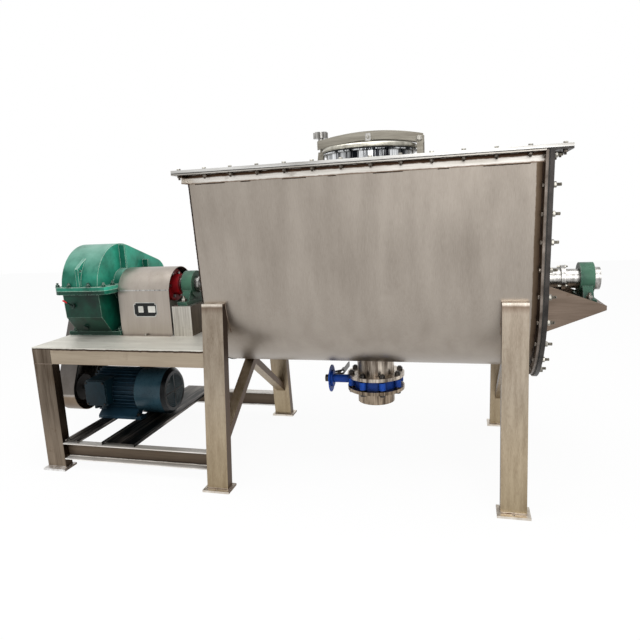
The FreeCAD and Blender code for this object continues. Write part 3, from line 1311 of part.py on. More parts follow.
def motor_rails():
    made = body("motor_rails", z="beam_top")
    front, back = "table_front + beam_depth / 4", "table_back - beam_depth / 4"
    for place in ("rail_left", "rail_right"):
        left, right = place + " - " + place + "_width / 2", place + " + " + place + "_width / 2"
        skin = outline(sketch(made, "XZ"), [
            (right, "0"), (right, "rail_height"), (left, "rail_height"), (left, "0"),
            (left + " + rail_wall", "0"), (left + " + rail_wall", "rail_height - rail_wall"),
            (right + " - rail_wall", "rail_height - rail_wall"), (right + " - rail_wall", "0")])
        bar = pad(made, skin, front, flip=False)
        bar.SideType = "Two sides"
        bar.setExpression("Length", formula("-(" + front + ")"))
        bar.setExpression("Length2", formula(back))


def bearing_pedestal():
    made = body("bearing_pedestal", x="drive_bearing", z="table_height")
    half = "pedestal_width / 2"
    box = rectangle(sketch(made, "XY"), "-" + half, half, "-pedestal_half", "pedestal_half")
    pad(made, box, "bearing_floor - table_height")
    hole = rectangle(sketch(made, "XY"), "-" + half + " + pedestal_wall", half + " - pedestal_wall",
                     "-pedestal_half + pedestal_wall", "pedestal_half - pedestal_wall")
    pocket(made, hole, "bearing_floor - table_height - pedestal_cap", flip=True)


def tail_bracket():
    """Two cheeks on the end plate with the shelf of the bearing between them."""
    made = body("tail_bracket", x="cover_face", z="shaft_height")
    tip = "cheek_tip - cover_face"
    cheek = outline(sketch(made, "XZ", "cheek_half - cheek_plate / 2"), [
        ("0", "0"), ("0", "-bearing_seat - cheek_drop"), (tip, "-bearing_seat - cheek_lip"),
        (tip, "-bearing_seat - cheek_plate / 2")])
    one = pad(made, cheek, "cheek_plate", both=True)
    mirror(made, [one], "XZ")
    shelf = rectangle(sketch(made, "XZ"), "0", tip + " - cheek_plate", "-bearing_seat - pedestal_cap",
                      "-bearing_seat")
    pad(made, shelf, "2 * cheek_half - cheek_plate", both=True)


def coupling_guard():
    """Arched sheet over the coupling, open at both ends, with foot flanges."""
    made = body("coupling_guard", x="guard_left", z="table_height")
    bend = "(centre_height + guard_rise - guard_half)"
    inner = "(guard_half - guard_sheet)"
    foot = "guard_half + guard_foot"
    arch = outline(sketch(made, "YZ"), [
        ("guard_half", "guard_sheet"), ("guard_half", bend), ("-guard_half", bend, "0", bend, 1),
        ("-guard_half", "guard_sheet"), ("-(" + foot + ")", "guard_sheet"), ("-(" + foot + ")", "0"),
        ("-" + inner, "0"), ("-" + inner, bend), (inner, bend, "0", bend, -1), (inner, "0"),
        (foot, "0"), (foot, "guard_sheet")])
    pad(made, arch, "guard_right - guard_left")


def case_outline(drawn, wall):
    """Upper half of the reducer case: round the large wheel, sloping down to the input end."""
    big, small = "(case_radius - %s)" % wall, "(case_tail - %s)" % wall
    outline(drawn, [
        ("-" + big, "0"), (big + " * sin(case_slope)", big + " * cos(case_slope)", "0", "0", -1),
        ("input_shift + " + small + " * sin(case_slope)", small + " * cos(case_slope)"),
        ("input_shift + " + small, "0", "input_shift", "0", -1)])


def case_bores(made):
    """Bearing seats of the three shafts, through both walls."""
    for y, shaft, outer, boss in SHAFTS:
        pocket(made, circle(sketch(made, "YZ"), y, "0", outer), "3 * boss_half", both=True)


def bosses(made, cut_bottom, cut_top):
    """Bearing bosses on both walls, cut at the parting plane."""
    drawn = sketch(made, "YZ")
    for y, shaft, outer, boss in SHAFTS:
        circle(drawn, y, "0", boss)
    pad(made, drawn, "2 * boss_half", both=True)
    half = rectangle(sketch(made, "YZ"), "2 * seam_front", "2 * seam_back", cut_bottom, cut_top)
    pocket(made, half, "3 * boss_half", both=True)


def seam_flange(made, offset):
    """Flange of the parting plane, its corners rounded."""
    flange = rectangle(sketch(made, "XY", offset), "-seam_half", "seam_half", "seam_front", "seam_back")
    pad(made, flange, "seam_plate")
    fillet(made, "seam_corner", lambda edge: abs(edge.BoundBox.ZLength - size("seam_plate")) < 0.1
                    and edge.BoundBox.XLength + edge.BoundBox.YLength < 0.1
                    and abs(abs(edge.CenterOfMass.x) - size("seam_half")) < 0.1)


def reducer_cover():
    """Upper case half with bosses, ribs and the two lifting eyes."""
    made = body("reducer_cover", x="reducer_middle", z="shaft_height")
    seam_flange(made, "0")
    solid = sketch(made, "YZ")
    case_outline(solid, "0")
    pad(made, solid, "2 * case_half", both=True)
    rib = sketch(made, "YZ")
    outline(rib, [("rib_half", "case_radius - rib_half"), ("-rib_half", "case_radius - rib_half"),
                  ("-rib_half", "0"), ("rib_half", "0")])
    outline(rib, [("slow_centres + rib_half", "case_tail + rib_half"),
                  ("slow_centres - rib_half", "case_tail + rib_half"),
                  ("slow_centres - rib_half", "0"), ("slow_centres + rib_half", "0")])
    pad(made, rib, "2 * rib_reach", both=True)
    eyes = sketch(made, "YZ")
    outline(eyes, [("-0.66 * case_radius", "0.74 * case_radius"), ("seam_front + eye_hole", "0.5 * case_radius"),
                   ("seam_front + eye_hole", "seam_plate / 2"), ("-0.9 * case_radius", "seam_plate / 2")])
    outline(eyes, [("seam_back", "0.62 * case_tail"), ("input_shift + 0.5 * case_tail", "0.9 * case_tail"),
                   ("input_shift + 0.8 * case_tail", "seam_plate"), ("seam_back", "seam_plate")])
    pad(made, eyes, "eye_plate", both=True)
    holes = circle(sketch(made, "YZ"), "seam_front + 3.4 * eye_hole", "0.45 * case_radius", "eye_hole")
    circle(holes, "seam_back - 1.6 * eye_hole", "0.45 * case_tail", "eye_hole")
    pocket(made, holes, "2 * eye_plate", both=True)
    bosses(made, "-2 * case_radius", "0")
    hollow = sketch(made, "YZ")
    case_outline(hollow, "case_wall")
    pocket(made, hollow, "2 * (case_half - case_wall)", both=True)
    case_bores(made)


def base_steps(wall):
    """Lower half of the reducer case, drawn in from its front, floor and back by a wall."""
    front, back = "-case_radius + %s" % wall, "input_shift + case_tail - %s" % wall
    floor = "case_bottom + %s" % wall
    return [
        (back, "0"), (front, "0"), (front + " + 0.04 * case_radius", "-0.62 * case_radius"),
        ("base_front + %s / 2" % wall, floor), ("base_back - %s / 2" % wall, floor),
        (back + " - 0.1 * case_tail", "-0.6 * case_radius")]


def reducer_base():
    """Lower case half on its foot flange."""
    made = body("reducer_base", x="reducer_middle", z="shaft_height")
    seam_flange(made, "-seam_plate")
    pad(made, outline(sketch(made, "YZ"), base_steps("0")), "2 * case_half", both=True)
    foot = rectangle(sketch(made, "XY", "table_height - shaft_height"), "-seam_half", "seam_half",
                     "base_front", "base_back")
    pad(made, foot, "case_floor")
    ribs = sketch(made, "YZ")
    for place in ("-0.6 * boss_big", "0.6 * boss_big", "slow_centres", "input_shift"):
        outline(ribs, [
            (place + " + rib_half", "-seam_plate"), (place + " - rib_half", "-seam_plate"),
            (place + " - rib_half", "case_bottom"), (place + " + rib_half", "case_bottom")])
    pad(made, ribs, "2 * rib_reach", both=True)
    bosses(made, "0", "2 * case_radius")
    pocket(made, outline(sketch(made, "YZ"), base_steps("case_wall")), "2 * (case_half - case_wall)", both=True)
    case_bores(made)


def oil_fittings():
    """Slanted dipstick and drain plug on the front of the case."""
    case, radius = size("case_radius"), size("plug_radius")
    wall = FreeCAD.Vector(0, 0.04, -0.62)
    knee = FreeCAD.Vector(0, -case, 0) + wall * case
    facet = FreeCAD.Vector(0, size("base_front"), size("case_bottom")) - knee
    spot = FreeCAD.Vector(size("dipstick_offset"), -case, 0) + wall * case * 0.55
    out = FreeCAD.Vector(0, wall.z, -wall.y).normalize()
    boss = prism(2 * radius, radius, spot, out)
    rise = FreeCAD.Vector(0, -1, 0.56)
    stick = Part.makeCylinder(radius / 3, size("stick_length"), spot + out * radius / 2, rise)
    low = FreeCAD.Vector(size("plug_offset"), knee.y, knee.z) + facet * 0.65
    plug = prism(2 * radius, radius, low, FreeCAD.Vector(0, facet.z, -facet.y))
    shapes = Part.makeCompound([boss.fuse(stick).removeSplitter(), plug])
    shaped("oil_fittings", shapes, "reducer_middle", "0", "shaft_height")


def pulley(label, radius, bore, y, z):
    """Grooved pulley on the belt plane, with a web and a hub."""
    made = body(label, x="belt_plane", y=y, z=z)
    half = "pulley_face / 2"
    points = [(half, bore + " + running_fit"), (half, radius)]
    for index in (1, 0, -1):
        near = "%d * belt_pitch + belt_width / 2" % index
        far = "%d * belt_pitch - belt_width / 2" % index
        deep = radius + " - belt_depth"
        points += [(near, radius), (near, deep), (far, deep), (far, radius)]
    points += [("-" + half, radius), ("-" + half, bore + " + running_fit")]
    drawn = sketch(made, "XZ")
    outline(drawn, points[1:] + points[:1])
    turn(made, drawn)
    return made


def driven_pulley():
    made = pulley("driven_pulley", "driven_radius", "input_radius", "input_shift", "shaft_height")
    web = circle(sketch(made, "YZ", "pulley_face / 4"), "0", "0", "driven_radius - 3 * belt_depth")
    circle(web, "0", "0", "2.2 * input_radius")
    pocket(made, web, "pulley_face", flip=True)
    web = circle(sketch(made, "YZ", "-pulley_face / 4"), "0", "0", "driven_radius - 3 * belt_depth")
    circle(web, "0", "0", "2.2 * input_radius")
    pocket(made, web, "pulley_face")


def loop(high, low, start, width):
    """Solid between two round ends, about the driven pulley and the motor pulley."""
    tops = (size("input_shift"), size("shaft_height")), (size("motor_shift"), size("motor_height"))
    along = (tops[0][0] - tops[1][0], tops[0][1] - tops[1][1])
    length = math.hypot(*along)
    unit = (along[0] / length, along[1] / length)
    sine = (low - high) / length
    cosine = math.sqrt(1 - sine ** 2)

    def at(centre, radius, side):
        y = sine * unit[0] - side * cosine * unit[1]
        z = sine * unit[1] + side * cosine * unit[0]
        return FreeCAD.Vector(start, centre[0] + radius * y, centre[1] + radius * z)

    def pole(centre, radius, way):
        return FreeCAD.Vector(start, centre[0] + way * radius * unit[0], centre[1] + way * radius * unit[1])

    a, b = at(tops[0], high, 1), at(tops[0], high, -1)
    c, d = at(tops[1], low, -1), at(tops[1], low, 1)
    edges = [Part.Arc(a, pole(tops[0], high, 1), b).toShape(), Part.makeLine(b, c),
             Part.Arc(c, pole(tops[1], low, -1), d).toShape(), Part.makeLine(d, a)]
    return Part.Face(Part.Wire(edges)).extrude(FreeCAD.Vector(width, 0, 0))


def v_belts():
    solids = []
    depth, width, gap = size("belt_depth"), size("belt_width - 2 * free_gap"), size("free_gap")
    for index in range(int(size("belt_count"))):
        start = size("belt_plane + belt_pitch * (%d - (belt_count - 1) / 2)" % index) - width / 2
        outer = loop(size("driven_radius") + 2 * gap, size("driver_radius") + 2 * gap, start, width)
        inner = loop(size("driven_radius") - depth + gap, size("driver_radius") - depth + gap,
                     start - gap, width + 2 * gap)
        solids.append(outer.cut(inner))
    shaped("v_belts", Part.makeCompound(solids))


def belt_guard():
    """Stainless tray over the belts, open to the machine, on a bar held off the table."""
    back, front, skin = size("shield_back"), size("shield_front"), size("guard_sheet")
    high, low = size("shield_high"), size("shield_low")
    tray = loop(high, low, back, front - back)
    tray = tray.cut(loop(high - skin, low - skin, back + skin, front - back))
    bar = size("shield_bar")
    left, right = size("motor_shift"), size("input_shift")
    middle = size("apron_bottom + apron_height / 2")
    strip = Part.makeBox(size("apron_wall"), right - left, bar,
                         FreeCAD.Vector(front - size("apron_wall"), left, middle - bar / 2))
    strip = strip.common(loop(high - skin / 2, low - skin / 2, back, front - back))
    posts = [Part.makeBox(size("table_left") - front, bar, bar,
                          FreeCAD.Vector(front, y - bar / 2, middle - bar / 2))
             for y in (left + 2 * bar, right - 2 * bar)]
    shaped("belt_guard", tray.fuse([strip] + posts).removeSplitter())


def motor_frame():
    """Finned barrel with end shields and feet."""
    made = body("motor_frame", x="motor_start", y="motor_shift", z="motor_height")
    start, end = "shield_depth", "stator_end - motor_start"
    bore = "motor_shaft + running_fit"
    section = outline(sketch(made, "XZ"), [
        (end + " + shield_depth", bore), (end + " + shield_depth", "0.6 * stator_radius"),
        (end, "stator_radius"), (start, "stator_radius"), (start, "0.9 * stator_radius"),
        ("0", "0.6 * stator_radius"), ("0", bore), ("shield_depth / 2", bore),
        ("shield_depth", "stator_bore"), (end, "stator_bore"), (end + " + shield_depth / 2", bore)])
    turn(made, section)
    fin = rectangle(sketch(made, "YZ", start), "0.95 * stator_radius", "fin_radius",
                    "-fin_plate / 2", "fin_plate / 2")
    fins = pad(made, fin, end + " - shield_depth")
    polar(made, [fins], "X", "fin_count")
    near, far = "(foot_hole_half - foot_margin)", "(foot_hole_half + foot_margin)"
    web = sketch(made, "YZ", "foot_hole_first - foot_margin")
    slabs = sketch(made, "YZ", "foot_hole_first - foot_margin")
    low = "foot_slab - motor_seat"
    outline(web, [
        (far, "-motor_seat"), (far, low), ("0.8 * stator_radius", "-0.75 * stator_radius"),
        ("-0.8 * stator_radius", "-0.75 * stator_radius"), ("-" + far, low), ("-" + far, "-motor_seat"),
        ("-" + near, "-motor_seat"), ("-0.45 * stator_radius", "-0.92 * stator_radius"),
        ("0.45 * stator_radius", "-0.92 * stator_radius"), (near, "-motor_seat")])
    pad(made, web, "stator_end - motor_start - foot_hole_first + foot_margin")
    rectangle(slabs, near, far, "-motor_seat", low)
    rectangle(slabs, "-" + far, "-" + near, "-motor_seat", low)
    pad(made, slabs, "foot_hole_pitch + 2 * foot_margin")
    holes = sketch(made, "XY", "-motor_seat")
    for along in ("foot_hole_first", "foot_hole_first + foot_hole_pitch"):
        for sign in ("-", ""):
            circle(holes, along, sign + "foot_hole_half", "foot_hole")
    pocket(made, holes, "2 * foot_slab", flip=True)


def fan_cover():
    """Sheet cup over the fan; its end is a ring with a cross that carries the wire grille."""
    made = body("fan_cover", x="cowl_end", y="motor_shift", z="motor_height")
    start = "stator_end - cowl_end"
    inner = "(cowl_radius - cowl_sheet)"
    bend = "2 * belt_depth"
    section = outline(sketch(made, "XZ"), [
        (start, "cowl_radius"), (start, inner), ("-" + bend, inner),
        ("-cowl_sheet", "cowl_radius - " + bend + " - cowl_sheet / 2"), ("-cowl_sheet", "grille_radius"),
        ("0", "grille_radius"), ("0", "cowl_radius - " + bend), ("-" + bend, "cowl_radius")])
    turn(made, section)
    cross = rectangle(sketch(made, "YZ", "-cowl_sheet"), "-grille_radius - cowl_sheet", "grille_radius + cowl_sheet",
                      "-spoke_half", "spoke_half")
    one = pad(made, cross, "cowl_sheet")
    polar(made, [one], "X", "4")
    hub = circle(sketch(made, "YZ", "-cowl_sheet"), "0", "0", "3 * spoke_half")
    pad(made, hub, "cowl_sheet")


def terminal_box():
    """Cable box on the front side of the motor: body, raised lid with cut corners, two inlets."""
    made = body("terminal_box", x="box_left", y="motor_shift", z="motor_height")
    wide = "(box_right - box_left)"
    pad(made, rectangle(sketch(made, "XZ"), "0", wide, "-box_drop", "box_rise"), "box_reach - fin_plate * 4")
    corner = "4 * fin_plate"
    for start, grow, inset in (("box_reach - fin_plate * 4", "2 * fin_plate", "fin_plate"),
                               ("box_reach - fin_plate * 2", "2 * fin_plate", "-2 * fin_plate")):
        left, right = "-(" + inset + ")", wide + " + " + inset
        low, high = "-box_drop - (" + inset + ")", "box_rise + " + inset
        lid = outline(sketch(made, "XZ", start), [
            (right, low + " + " + corner), (right, high + " - " + corner), (right + " - " + corner, high),
            (left + " + " + corner, high), (left, high + " - " + corner), (left, low + " + " + corner),
            (left + " + " + corner, low), (right + " - " + corner, low)])
        pad(made, lid, grow)
    bore(made, "YZ", "fin_radius + free_gap / 2", "4 * box_reach")
    inlets = sketch(made, "XY", "-box_drop")
    for share in ("0.3", "0.7"):
        circle(inlets, share + " * " + wide, "2.5 * plug_radius - box_reach", "plug_radius")
    pad(made, inlets, "2 * plug_radius", flip=True)


def motor_rotor():
    """Shaft, rotor core and fan."""
    made = body("motor_rotor", x="motor_start", y="motor_shift", z="motor_height")
    end = "stator_end - motor_start"
    fan = end + " + 2 * shield_depth"
    section = outline(sketch(made, "XZ"), [
        (fan + " + fan_depth", "0"), (fan + " + fan_depth", "2 * motor_shaft"), (fan, "2 * motor_shaft"),
        (fan, "motor_shaft"), (end + " - 2 * shield_depth", "motor_shaft"),
        (end + " - 2 * shield_depth", "stator_bore - free_gap"), ("3 * shield_depth", "stator_bore - free_gap"),
        ("3 * shield_depth", "motor_shaft"), ("belt_plane - motor_start - pulley_face / 2", "motor_shaft"),
        ("belt_plane - motor_start - pulley_face / 2", "0")])
    turn(made, section)
    blade = rectangle(sketch(made, "YZ", fan + " + fan_depth / 2"), "motor_shaft", "cowl_radius - 2 * belt_depth",
                      "-cowl_sheet", "cowl_sheet")
    one = pad(made, blade, "fan_depth", both=True)
    polar(made, [one], "X", "fan_blades")


def build_vessel():
    trough_shell()
    drive_end_plate()
    trough_end_flange()
    removable_end_plate()
    end_plate_bolts()
    rim_angle()
    lid_plate()
    lid_bolts()
    manhole_collar()
    gaskets()
    manhole_cover()
    manhole_arm()
    lid_lugs()
    swing_bolt()
    star_knob()


def build_outlet():
    outlet_neck()
    valve_body()
    valve_seat()
    valve_disc()
    valve_stem()
    notch_plate()
    valve_lever()
    latch_trigger()
    outlet_spigot()
    valve_bolts()


def build_agitator():
    main_shaft()
    coupling_half("machine_coupling_half", 1, "end_radius + running_fit", "coupling_pin + running_fit")
    coupling_half("reducer_coupling_half", -1, "output_radius + running_fit", "coupling_bush + running_fit")
    coupling_pins()
    bearing_rings()
    bearing_housings()
    glands()
    templates = plough_template(), arm_template()
    doc.recompute()
    round_the_shaft("ploughshares", templates[0])
    round_the_shaft("plough_arms", templates[1])


def build_frame():
    vessel_legs()
    table_deck()
    table_legs()
    lower_beams()
    motor_rails()
    bearing_pedestal()
    tail_bracket()
    coupling_guard()


def build_drive():
    reducer_shafts()
    case_bearings()
    bearing_caps()
    reducer_base()
    reducer_cover()
    oil_fittings()
    driven_pulley()
    pulley("motor_pulley", "driver_radius", "motor_shaft", "motor_shift", "motor_height")
    v_belts()
    belt_guard()
    motor_frame()
    fan_cover()
    terminal_box()
    motor_rotor()


build_vessel()
build_outlet()
build_agitator()
build_frame()
build_drive()

doc.recompute()
failed = [item.Name for item in doc.Objects if "Invalid" in item.State or "Error" in item.State]
for piece in PIECES:
    if piece.Shape.isNull() or not piece.Shape.isValid():
        failed.append(piece.Label + " shape")
if failed:
    raise RuntimeError("not built: " + ", ".join(failed))

os.makedirs("parts", exist_ok=True)
for piece in PIECES:
    piece.Shape.exportStep(os.path.join("parts", piece.Label + ".step"))
    print(piece.Label, len(piece.Shape.Solids), [round(v) for v in (
        piece.Shape.BoundBox.XMin, piece.Shape.BoundBox.XMax, piece.Shape.BoundBox.YMin,
        piece.Shape.BoundBox.YMax, piece.Shape.BoundBox.ZMin, piece.Shape.BoundBox.ZMax)])
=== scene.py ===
# %% [markdown]
# # Dressing a ploughshare mixer
# The solids of the machine come packed from CAD and are loaded as a fixed frame. This lesson
# gives them their steels, paints and rubbers, and adds what is too fine for the solids: bolts,
# weld beads, the wire grille, threads and wear.

# %% Load the frame
import math

import bmesh
import bpy
from mathutils import Matrix, Vector


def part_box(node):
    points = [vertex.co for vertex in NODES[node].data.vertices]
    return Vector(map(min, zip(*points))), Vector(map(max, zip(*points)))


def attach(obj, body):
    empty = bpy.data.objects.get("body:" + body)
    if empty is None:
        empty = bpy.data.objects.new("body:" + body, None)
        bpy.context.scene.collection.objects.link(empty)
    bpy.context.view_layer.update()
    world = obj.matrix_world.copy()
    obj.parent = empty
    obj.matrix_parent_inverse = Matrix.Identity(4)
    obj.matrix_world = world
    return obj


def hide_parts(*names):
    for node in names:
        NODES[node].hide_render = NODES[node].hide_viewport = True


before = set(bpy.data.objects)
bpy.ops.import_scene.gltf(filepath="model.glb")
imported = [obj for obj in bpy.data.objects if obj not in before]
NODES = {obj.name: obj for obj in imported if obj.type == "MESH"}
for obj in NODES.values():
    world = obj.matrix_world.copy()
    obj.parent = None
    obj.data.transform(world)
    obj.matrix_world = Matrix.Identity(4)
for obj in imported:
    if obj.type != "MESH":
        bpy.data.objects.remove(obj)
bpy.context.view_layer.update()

# %% [markdown]
# ## The camera
# The photograph was taken from about 1.5 m above the floor, a little to the right of the
# vessel's middle. A full-frame sensor with a lens of about 31 mm gives its perspective. The two
# directions typed below are the camera's own right and up in the machine's frame.

# %% Camera
LENS_MM, SENSOR_MM = 31.27, 36
CAMERA_PLACE = (0.5383, -3.204, 1.472)
camera_data = bpy.data.cameras.new("camera")
camera_data.sensor_width = SENSOR_MM
camera_data.lens = LENS_MM
camera = bpy.data.objects.new("camera", camera_data)
bpy.context.scene.collection.objects.link(camera)
right = Vector((0.96799, 0.24669, -0.04562))
up = Vector((-0.00299, 0.19313, 0.9812))
back = right.cross(up)
turn = Matrix((right, up, back)).transposed()
camera.matrix_world = Matrix.Translation(CAMERA_PLACE) @ turn.to_4x4()
bpy.context.scene.camera = camera
print("lens", camera_data.lens)

# %% [markdown]
# ## One way to build a material
# Every finish below is a small tree. One function adds a node with its settings and its links,
# so that each material reads as a list of what happens to the surface. Colours are written as
# sRGB hex values and turned to linear in one place.


# %% Helpers for materials
def linear(hexa):
    """sRGB hex to linear colour."""
    channels = [int(hexa[i:i + 2], 16) / 255 for i in (1, 3, 5)]
    return [c / 12.92 if c <= 0.04045 else ((c + 0.055) / 1.055) ** 2.4 for c in channels] + [1]


def add(tree, kind, links=None, **settings):
    """A node with its properties, its input values and its incoming links."""
    made = tree.nodes.new(kind)
    for name, value in settings.items():
        if name in made.bl_rna.properties:
            setattr(made, name, value)
        else:
            made.inputs[name.replace("_", " ")].default_value = value
    for name, source in (links or {}).items():
        tree.links.new(source, made.inputs[name])
    return made


def start_material(name):
    """A material with its shader, and the object coordinates for its patterns."""
    made = bpy.data.materials.new(name)
    made.use_nodes = True
    tree = made.node_tree
    shader = tree.nodes["Principled BSDF"]
    place = add(tree, "ShaderNodeTexCoord").outputs["Object"]
    return made, tree, shader, place


def ramp(tree, source, stops):
    """A colour ramp from (position, hex) stops."""
    made = add(tree, "ShaderNodeValToRGB", {"Fac": source})
    while len(made.color_ramp.elements) < len(stops):
        made.color_ramp.elements.new(0.5)
    for element, (position, hexa) in zip(made.color_ramp.elements, stops):
        element.position = position
        element.color = linear(hexa)
    return made.outputs["Color"]


def noise(tree, place, scale, detail, roughness=0.5):
    """A 0 to 1 noise over a place."""
    return add(tree, "ShaderNodeTexNoise", {"Vector": place}, Scale=scale, Detail=detail,
               Roughness=roughness).outputs["Fac"]


def spread(tree, source, low, high, start=0.0, end=1.0):
    """What a signal does between start and end, stretched to a range from low to high."""
    return add(tree, "ShaderNodeMapRange", {"Value": source}, From_Min=start, From_Max=end,
               To_Min=low, To_Max=high).outputs["Result"]


def mean(tree, first, second, share):
    """Two signals mixed, with a share of the second."""
    made = add(tree, "ShaderNodeMix", {2: first, 3: second}, data_type="FLOAT")
    made.inputs[0].default_value = share
    return made.outputs[0]


def covered(tree, share, colour, hexa):
    """A colour under a share of another."""
    made = add(tree, "ShaderNodeMix", {0: share, 6: colour}, data_type="RGBA")
    made.inputs[7].default_value = linear(hexa)
    return made.outputs[2]


def tinted(tree, colour, tint):
    """One colour multiplied by another."""
    made = add(tree, "ShaderNodeMix", {6: colour, 7: tint}, data_type="RGBA", blend_type="MULTIPLY")
    made.inputs[0].default_value = 1.0
    return made.outputs[2]


RAGGED = 0.008


def zoned(tree, place, axis, stops):
    """A tint that follows (position along an axis, hex) stops, with a ragged border."""
    run = add(tree, "ShaderNodeSeparateXYZ", {"Vector": place}).outputs[axis]
    wander = add(tree, "ShaderNodeMath", {0: noise(tree, place, 30.0, 5.0, 0.65), 2: run},
                 operation="MULTIPLY_ADD")
    wander.inputs[1].default_value = RAGGED
    low, high = stops[0][0], stops[-1][0]
    share = spread(tree, wander.outputs["Value"], 0.0, 1.0, low + RAGGED / 2, high + RAGGED / 2)
    return ramp(tree, share, [((at - low) / (high - low), hexa) for at, hexa in stops])


def facing(tree, axis):
    """1 on faces square to an axis, 0 on the others."""
    normal = add(tree, "ShaderNodeNewGeometry").outputs["True Normal"]
    part = add(tree, "ShaderNodeSeparateXYZ", {"Vector": normal}).outputs[axis]
    size = add(tree, "ShaderNodeMath", {0: part}, operation="ABSOLUTE").outputs["Value"]
    square = add(tree, "ShaderNodeMath", {0: size}, operation="GREATER_THAN")
    square.inputs[1].default_value = 0.7
    return square.outputs["Value"]


def dress(names, material):
    """Give CAD nodes their finish."""
    for name in names.split():
        slots = NODES[name].data.materials
        slots.clear()
        slots.append(material)


# %% [markdown]
# ## Stainless sheet
# The vessel, legs and table are welded from mill-finish stainless sheet, brushed by hand along
# one direction. The finish is built from four signals: fine scratches stretched along the grain,
# wider bands of the same brush, soft clouds from pickling, and small stains and nicks. They move
# colour a little and roughness more, as on the real sheet. Welds, dirt lines, painted highlights
# on ledges and painted shade under them follow the height of a piece, so tables of tints along an
# axis hold them. On some pieces the faces square to one axis get painted shade or light.


# %% Stainless sheet
def stainless(name, light, dark, grain, rough=0.34, band_mm=60, streak_mm=2.5, stain=0.25, zones=None,
              sides=None, metal=1.0, long=9, soft=0.12, middle=0.48):
    """Brushed stainless. grain is the axis of the scratches; zones holds tints along an axis: welds and
    dirt, and on some pieces painted highlight and shade. sides is (axis, tint of the faces square to
    it, tint of the others), a painted shade or light by the way a face looks."""
    made, tree, shader, place = start_material(name)

    def brushed(width_mm, ratio, detail):
        stretch = [1000 / width_mm] * 3
        stretch["XYZ".index(grain)] /= ratio
        long_way = add(tree, "ShaderNodeMapping", {"Vector": place}, Scale=stretch).outputs["Vector"]
        return noise(tree, long_way, 1.0, detail)

    scratches, bands = brushed(streak_mm, 70, 3.0), brushed(band_mm, long, 4.0)
    clouds = noise(tree, place, 2.2, 4.0)
    tone = mean(tree, mean(tree, bands, clouds, 0.4), scratches, 0.3)
    colour = ramp(tree, tone, [(middle - soft, dark), (middle + soft, light)])
    # Tints along an axis: welds and dirt, and on some pieces painted highlight and painted shade.
    for axis, stops in (zones or {}).items():
        colour = tinted(tree, colour, zoned(tree, place, axis, stops))
    # Faces square to one axis are tinted apart from the rest: painted shade or painted light by the way a
    # face looks.
    if sides:
        axis, square, other = sides
        colour = tinted(tree, colour, ramp(tree, facing(tree, axis), [(0.0, other), (1.0, square)]))
    stains = noise(tree, place, 14.0, 6.0, 0.7)
    colour = covered(tree, spread(tree, stains, 0.0, stain, 0.60, 0.74), colour, "#5f4a39")
    nicks = noise(tree, place, 150.0, 3.0, 0.6)
    colour = covered(tree, spread(tree, nicks, 0.0, 0.3, 0.68, 0.76), colour, "#4a3f36")
    tree.links.new(colour, shader.inputs["Base Color"])
    tree.links.new(spread(tree, tone, rough - 0.2, rough + 0.24), shader.inputs["Roughness"])
    bump = add(tree, "ShaderNodeBump", {"Height": scratches}, Strength=0.15, Distance=0.0006)
    tree.links.new(bump.outputs["Normal"], shader.inputs["Normal"])
    shader.inputs["Metallic"].default_value = metal
    return made


FLANGE_HEAT = [(0.844, "#ffffff"), (0.848, "#a29485"), (0.873, "#6d5e51")]
# Rim tints by height: the brown band at the foot is weld stain; the dark band just under the rim's flange is
# painted shade.
RIM_TINTS = [(1.645, "#a8998a"), (1.652, "#8a7666"), (1.657, "#fbfaf8"), (1.676, "#f1efec"),
             (1.681, "#5a4638"), (1.6935, "#2e2018"), (1.694, "#c4c3c0"), (1.72, "#bbbab7")]
# Leg tints by height: the pale foot plates and pale strip at the top are painted highlights; the brown band
# under the top is weld heat.
LEG_TINTS = [(0.00, "#f4f1ec"), (0.013, "#f4f1ec"), (0.02, "#b0a289"), (0.30, "#bdb09b"), (0.60, "#b0a698"),
             (0.97, "#a9a095"), (1.004, "#85766a"), (1.013, "#e9e3db"), (1.021, "#f4f0ea")]
# Table leg tints by height: the white foot plates are painted highlights; above them the leg is darker.
TABLE_LEG_TINTS = [(0.00, "#ffffff"), (0.013, "#ffffff"), (0.02, "#8c7e6e"), (0.35, "#7b6f62"),
                   (0.77, "#85796c")]
# Table tints by height: the pale top edge is a painted highlight, and the dark band under it is painted shade
# along a weld's dirt line.
DECK_TINTS = [(0.66, "#bdae9e"), (0.72, "#c8bbab"), (0.752, "#c2b4a4"), (0.7545, "#54443a"),
              (0.7625, "#3a2c22"), (0.7640, "#f2f1ec"), (0.775, "#f4f4f2")]
# Belt guard tints by height: the pale band at the bar is a painted highlight, and the darker part under the
# table is painted shade.
SHIELD_TINTS = [(0.19, "#7d6b5a"), (0.32, "#a08f7d"), (0.335, "#d0ccc8"), (0.345, "#837e7a"),
                (0.60, "#625f5e"), (1.29, "#9c9a97")]
# Channel tints by height: the white flanges are painted highlights, and the darker web between them is
# painted shade.
BEAM_TINTS = [(0.060, "#ffffff"), (0.0745, "#ffffff"), (0.0765, "#30281f"), (0.088, "#574b3f"),
              (0.12, "#6a5d4f"), (0.158, "#5f5347"), (0.1605, "#ffffff"), (0.172, "#ffffff")]
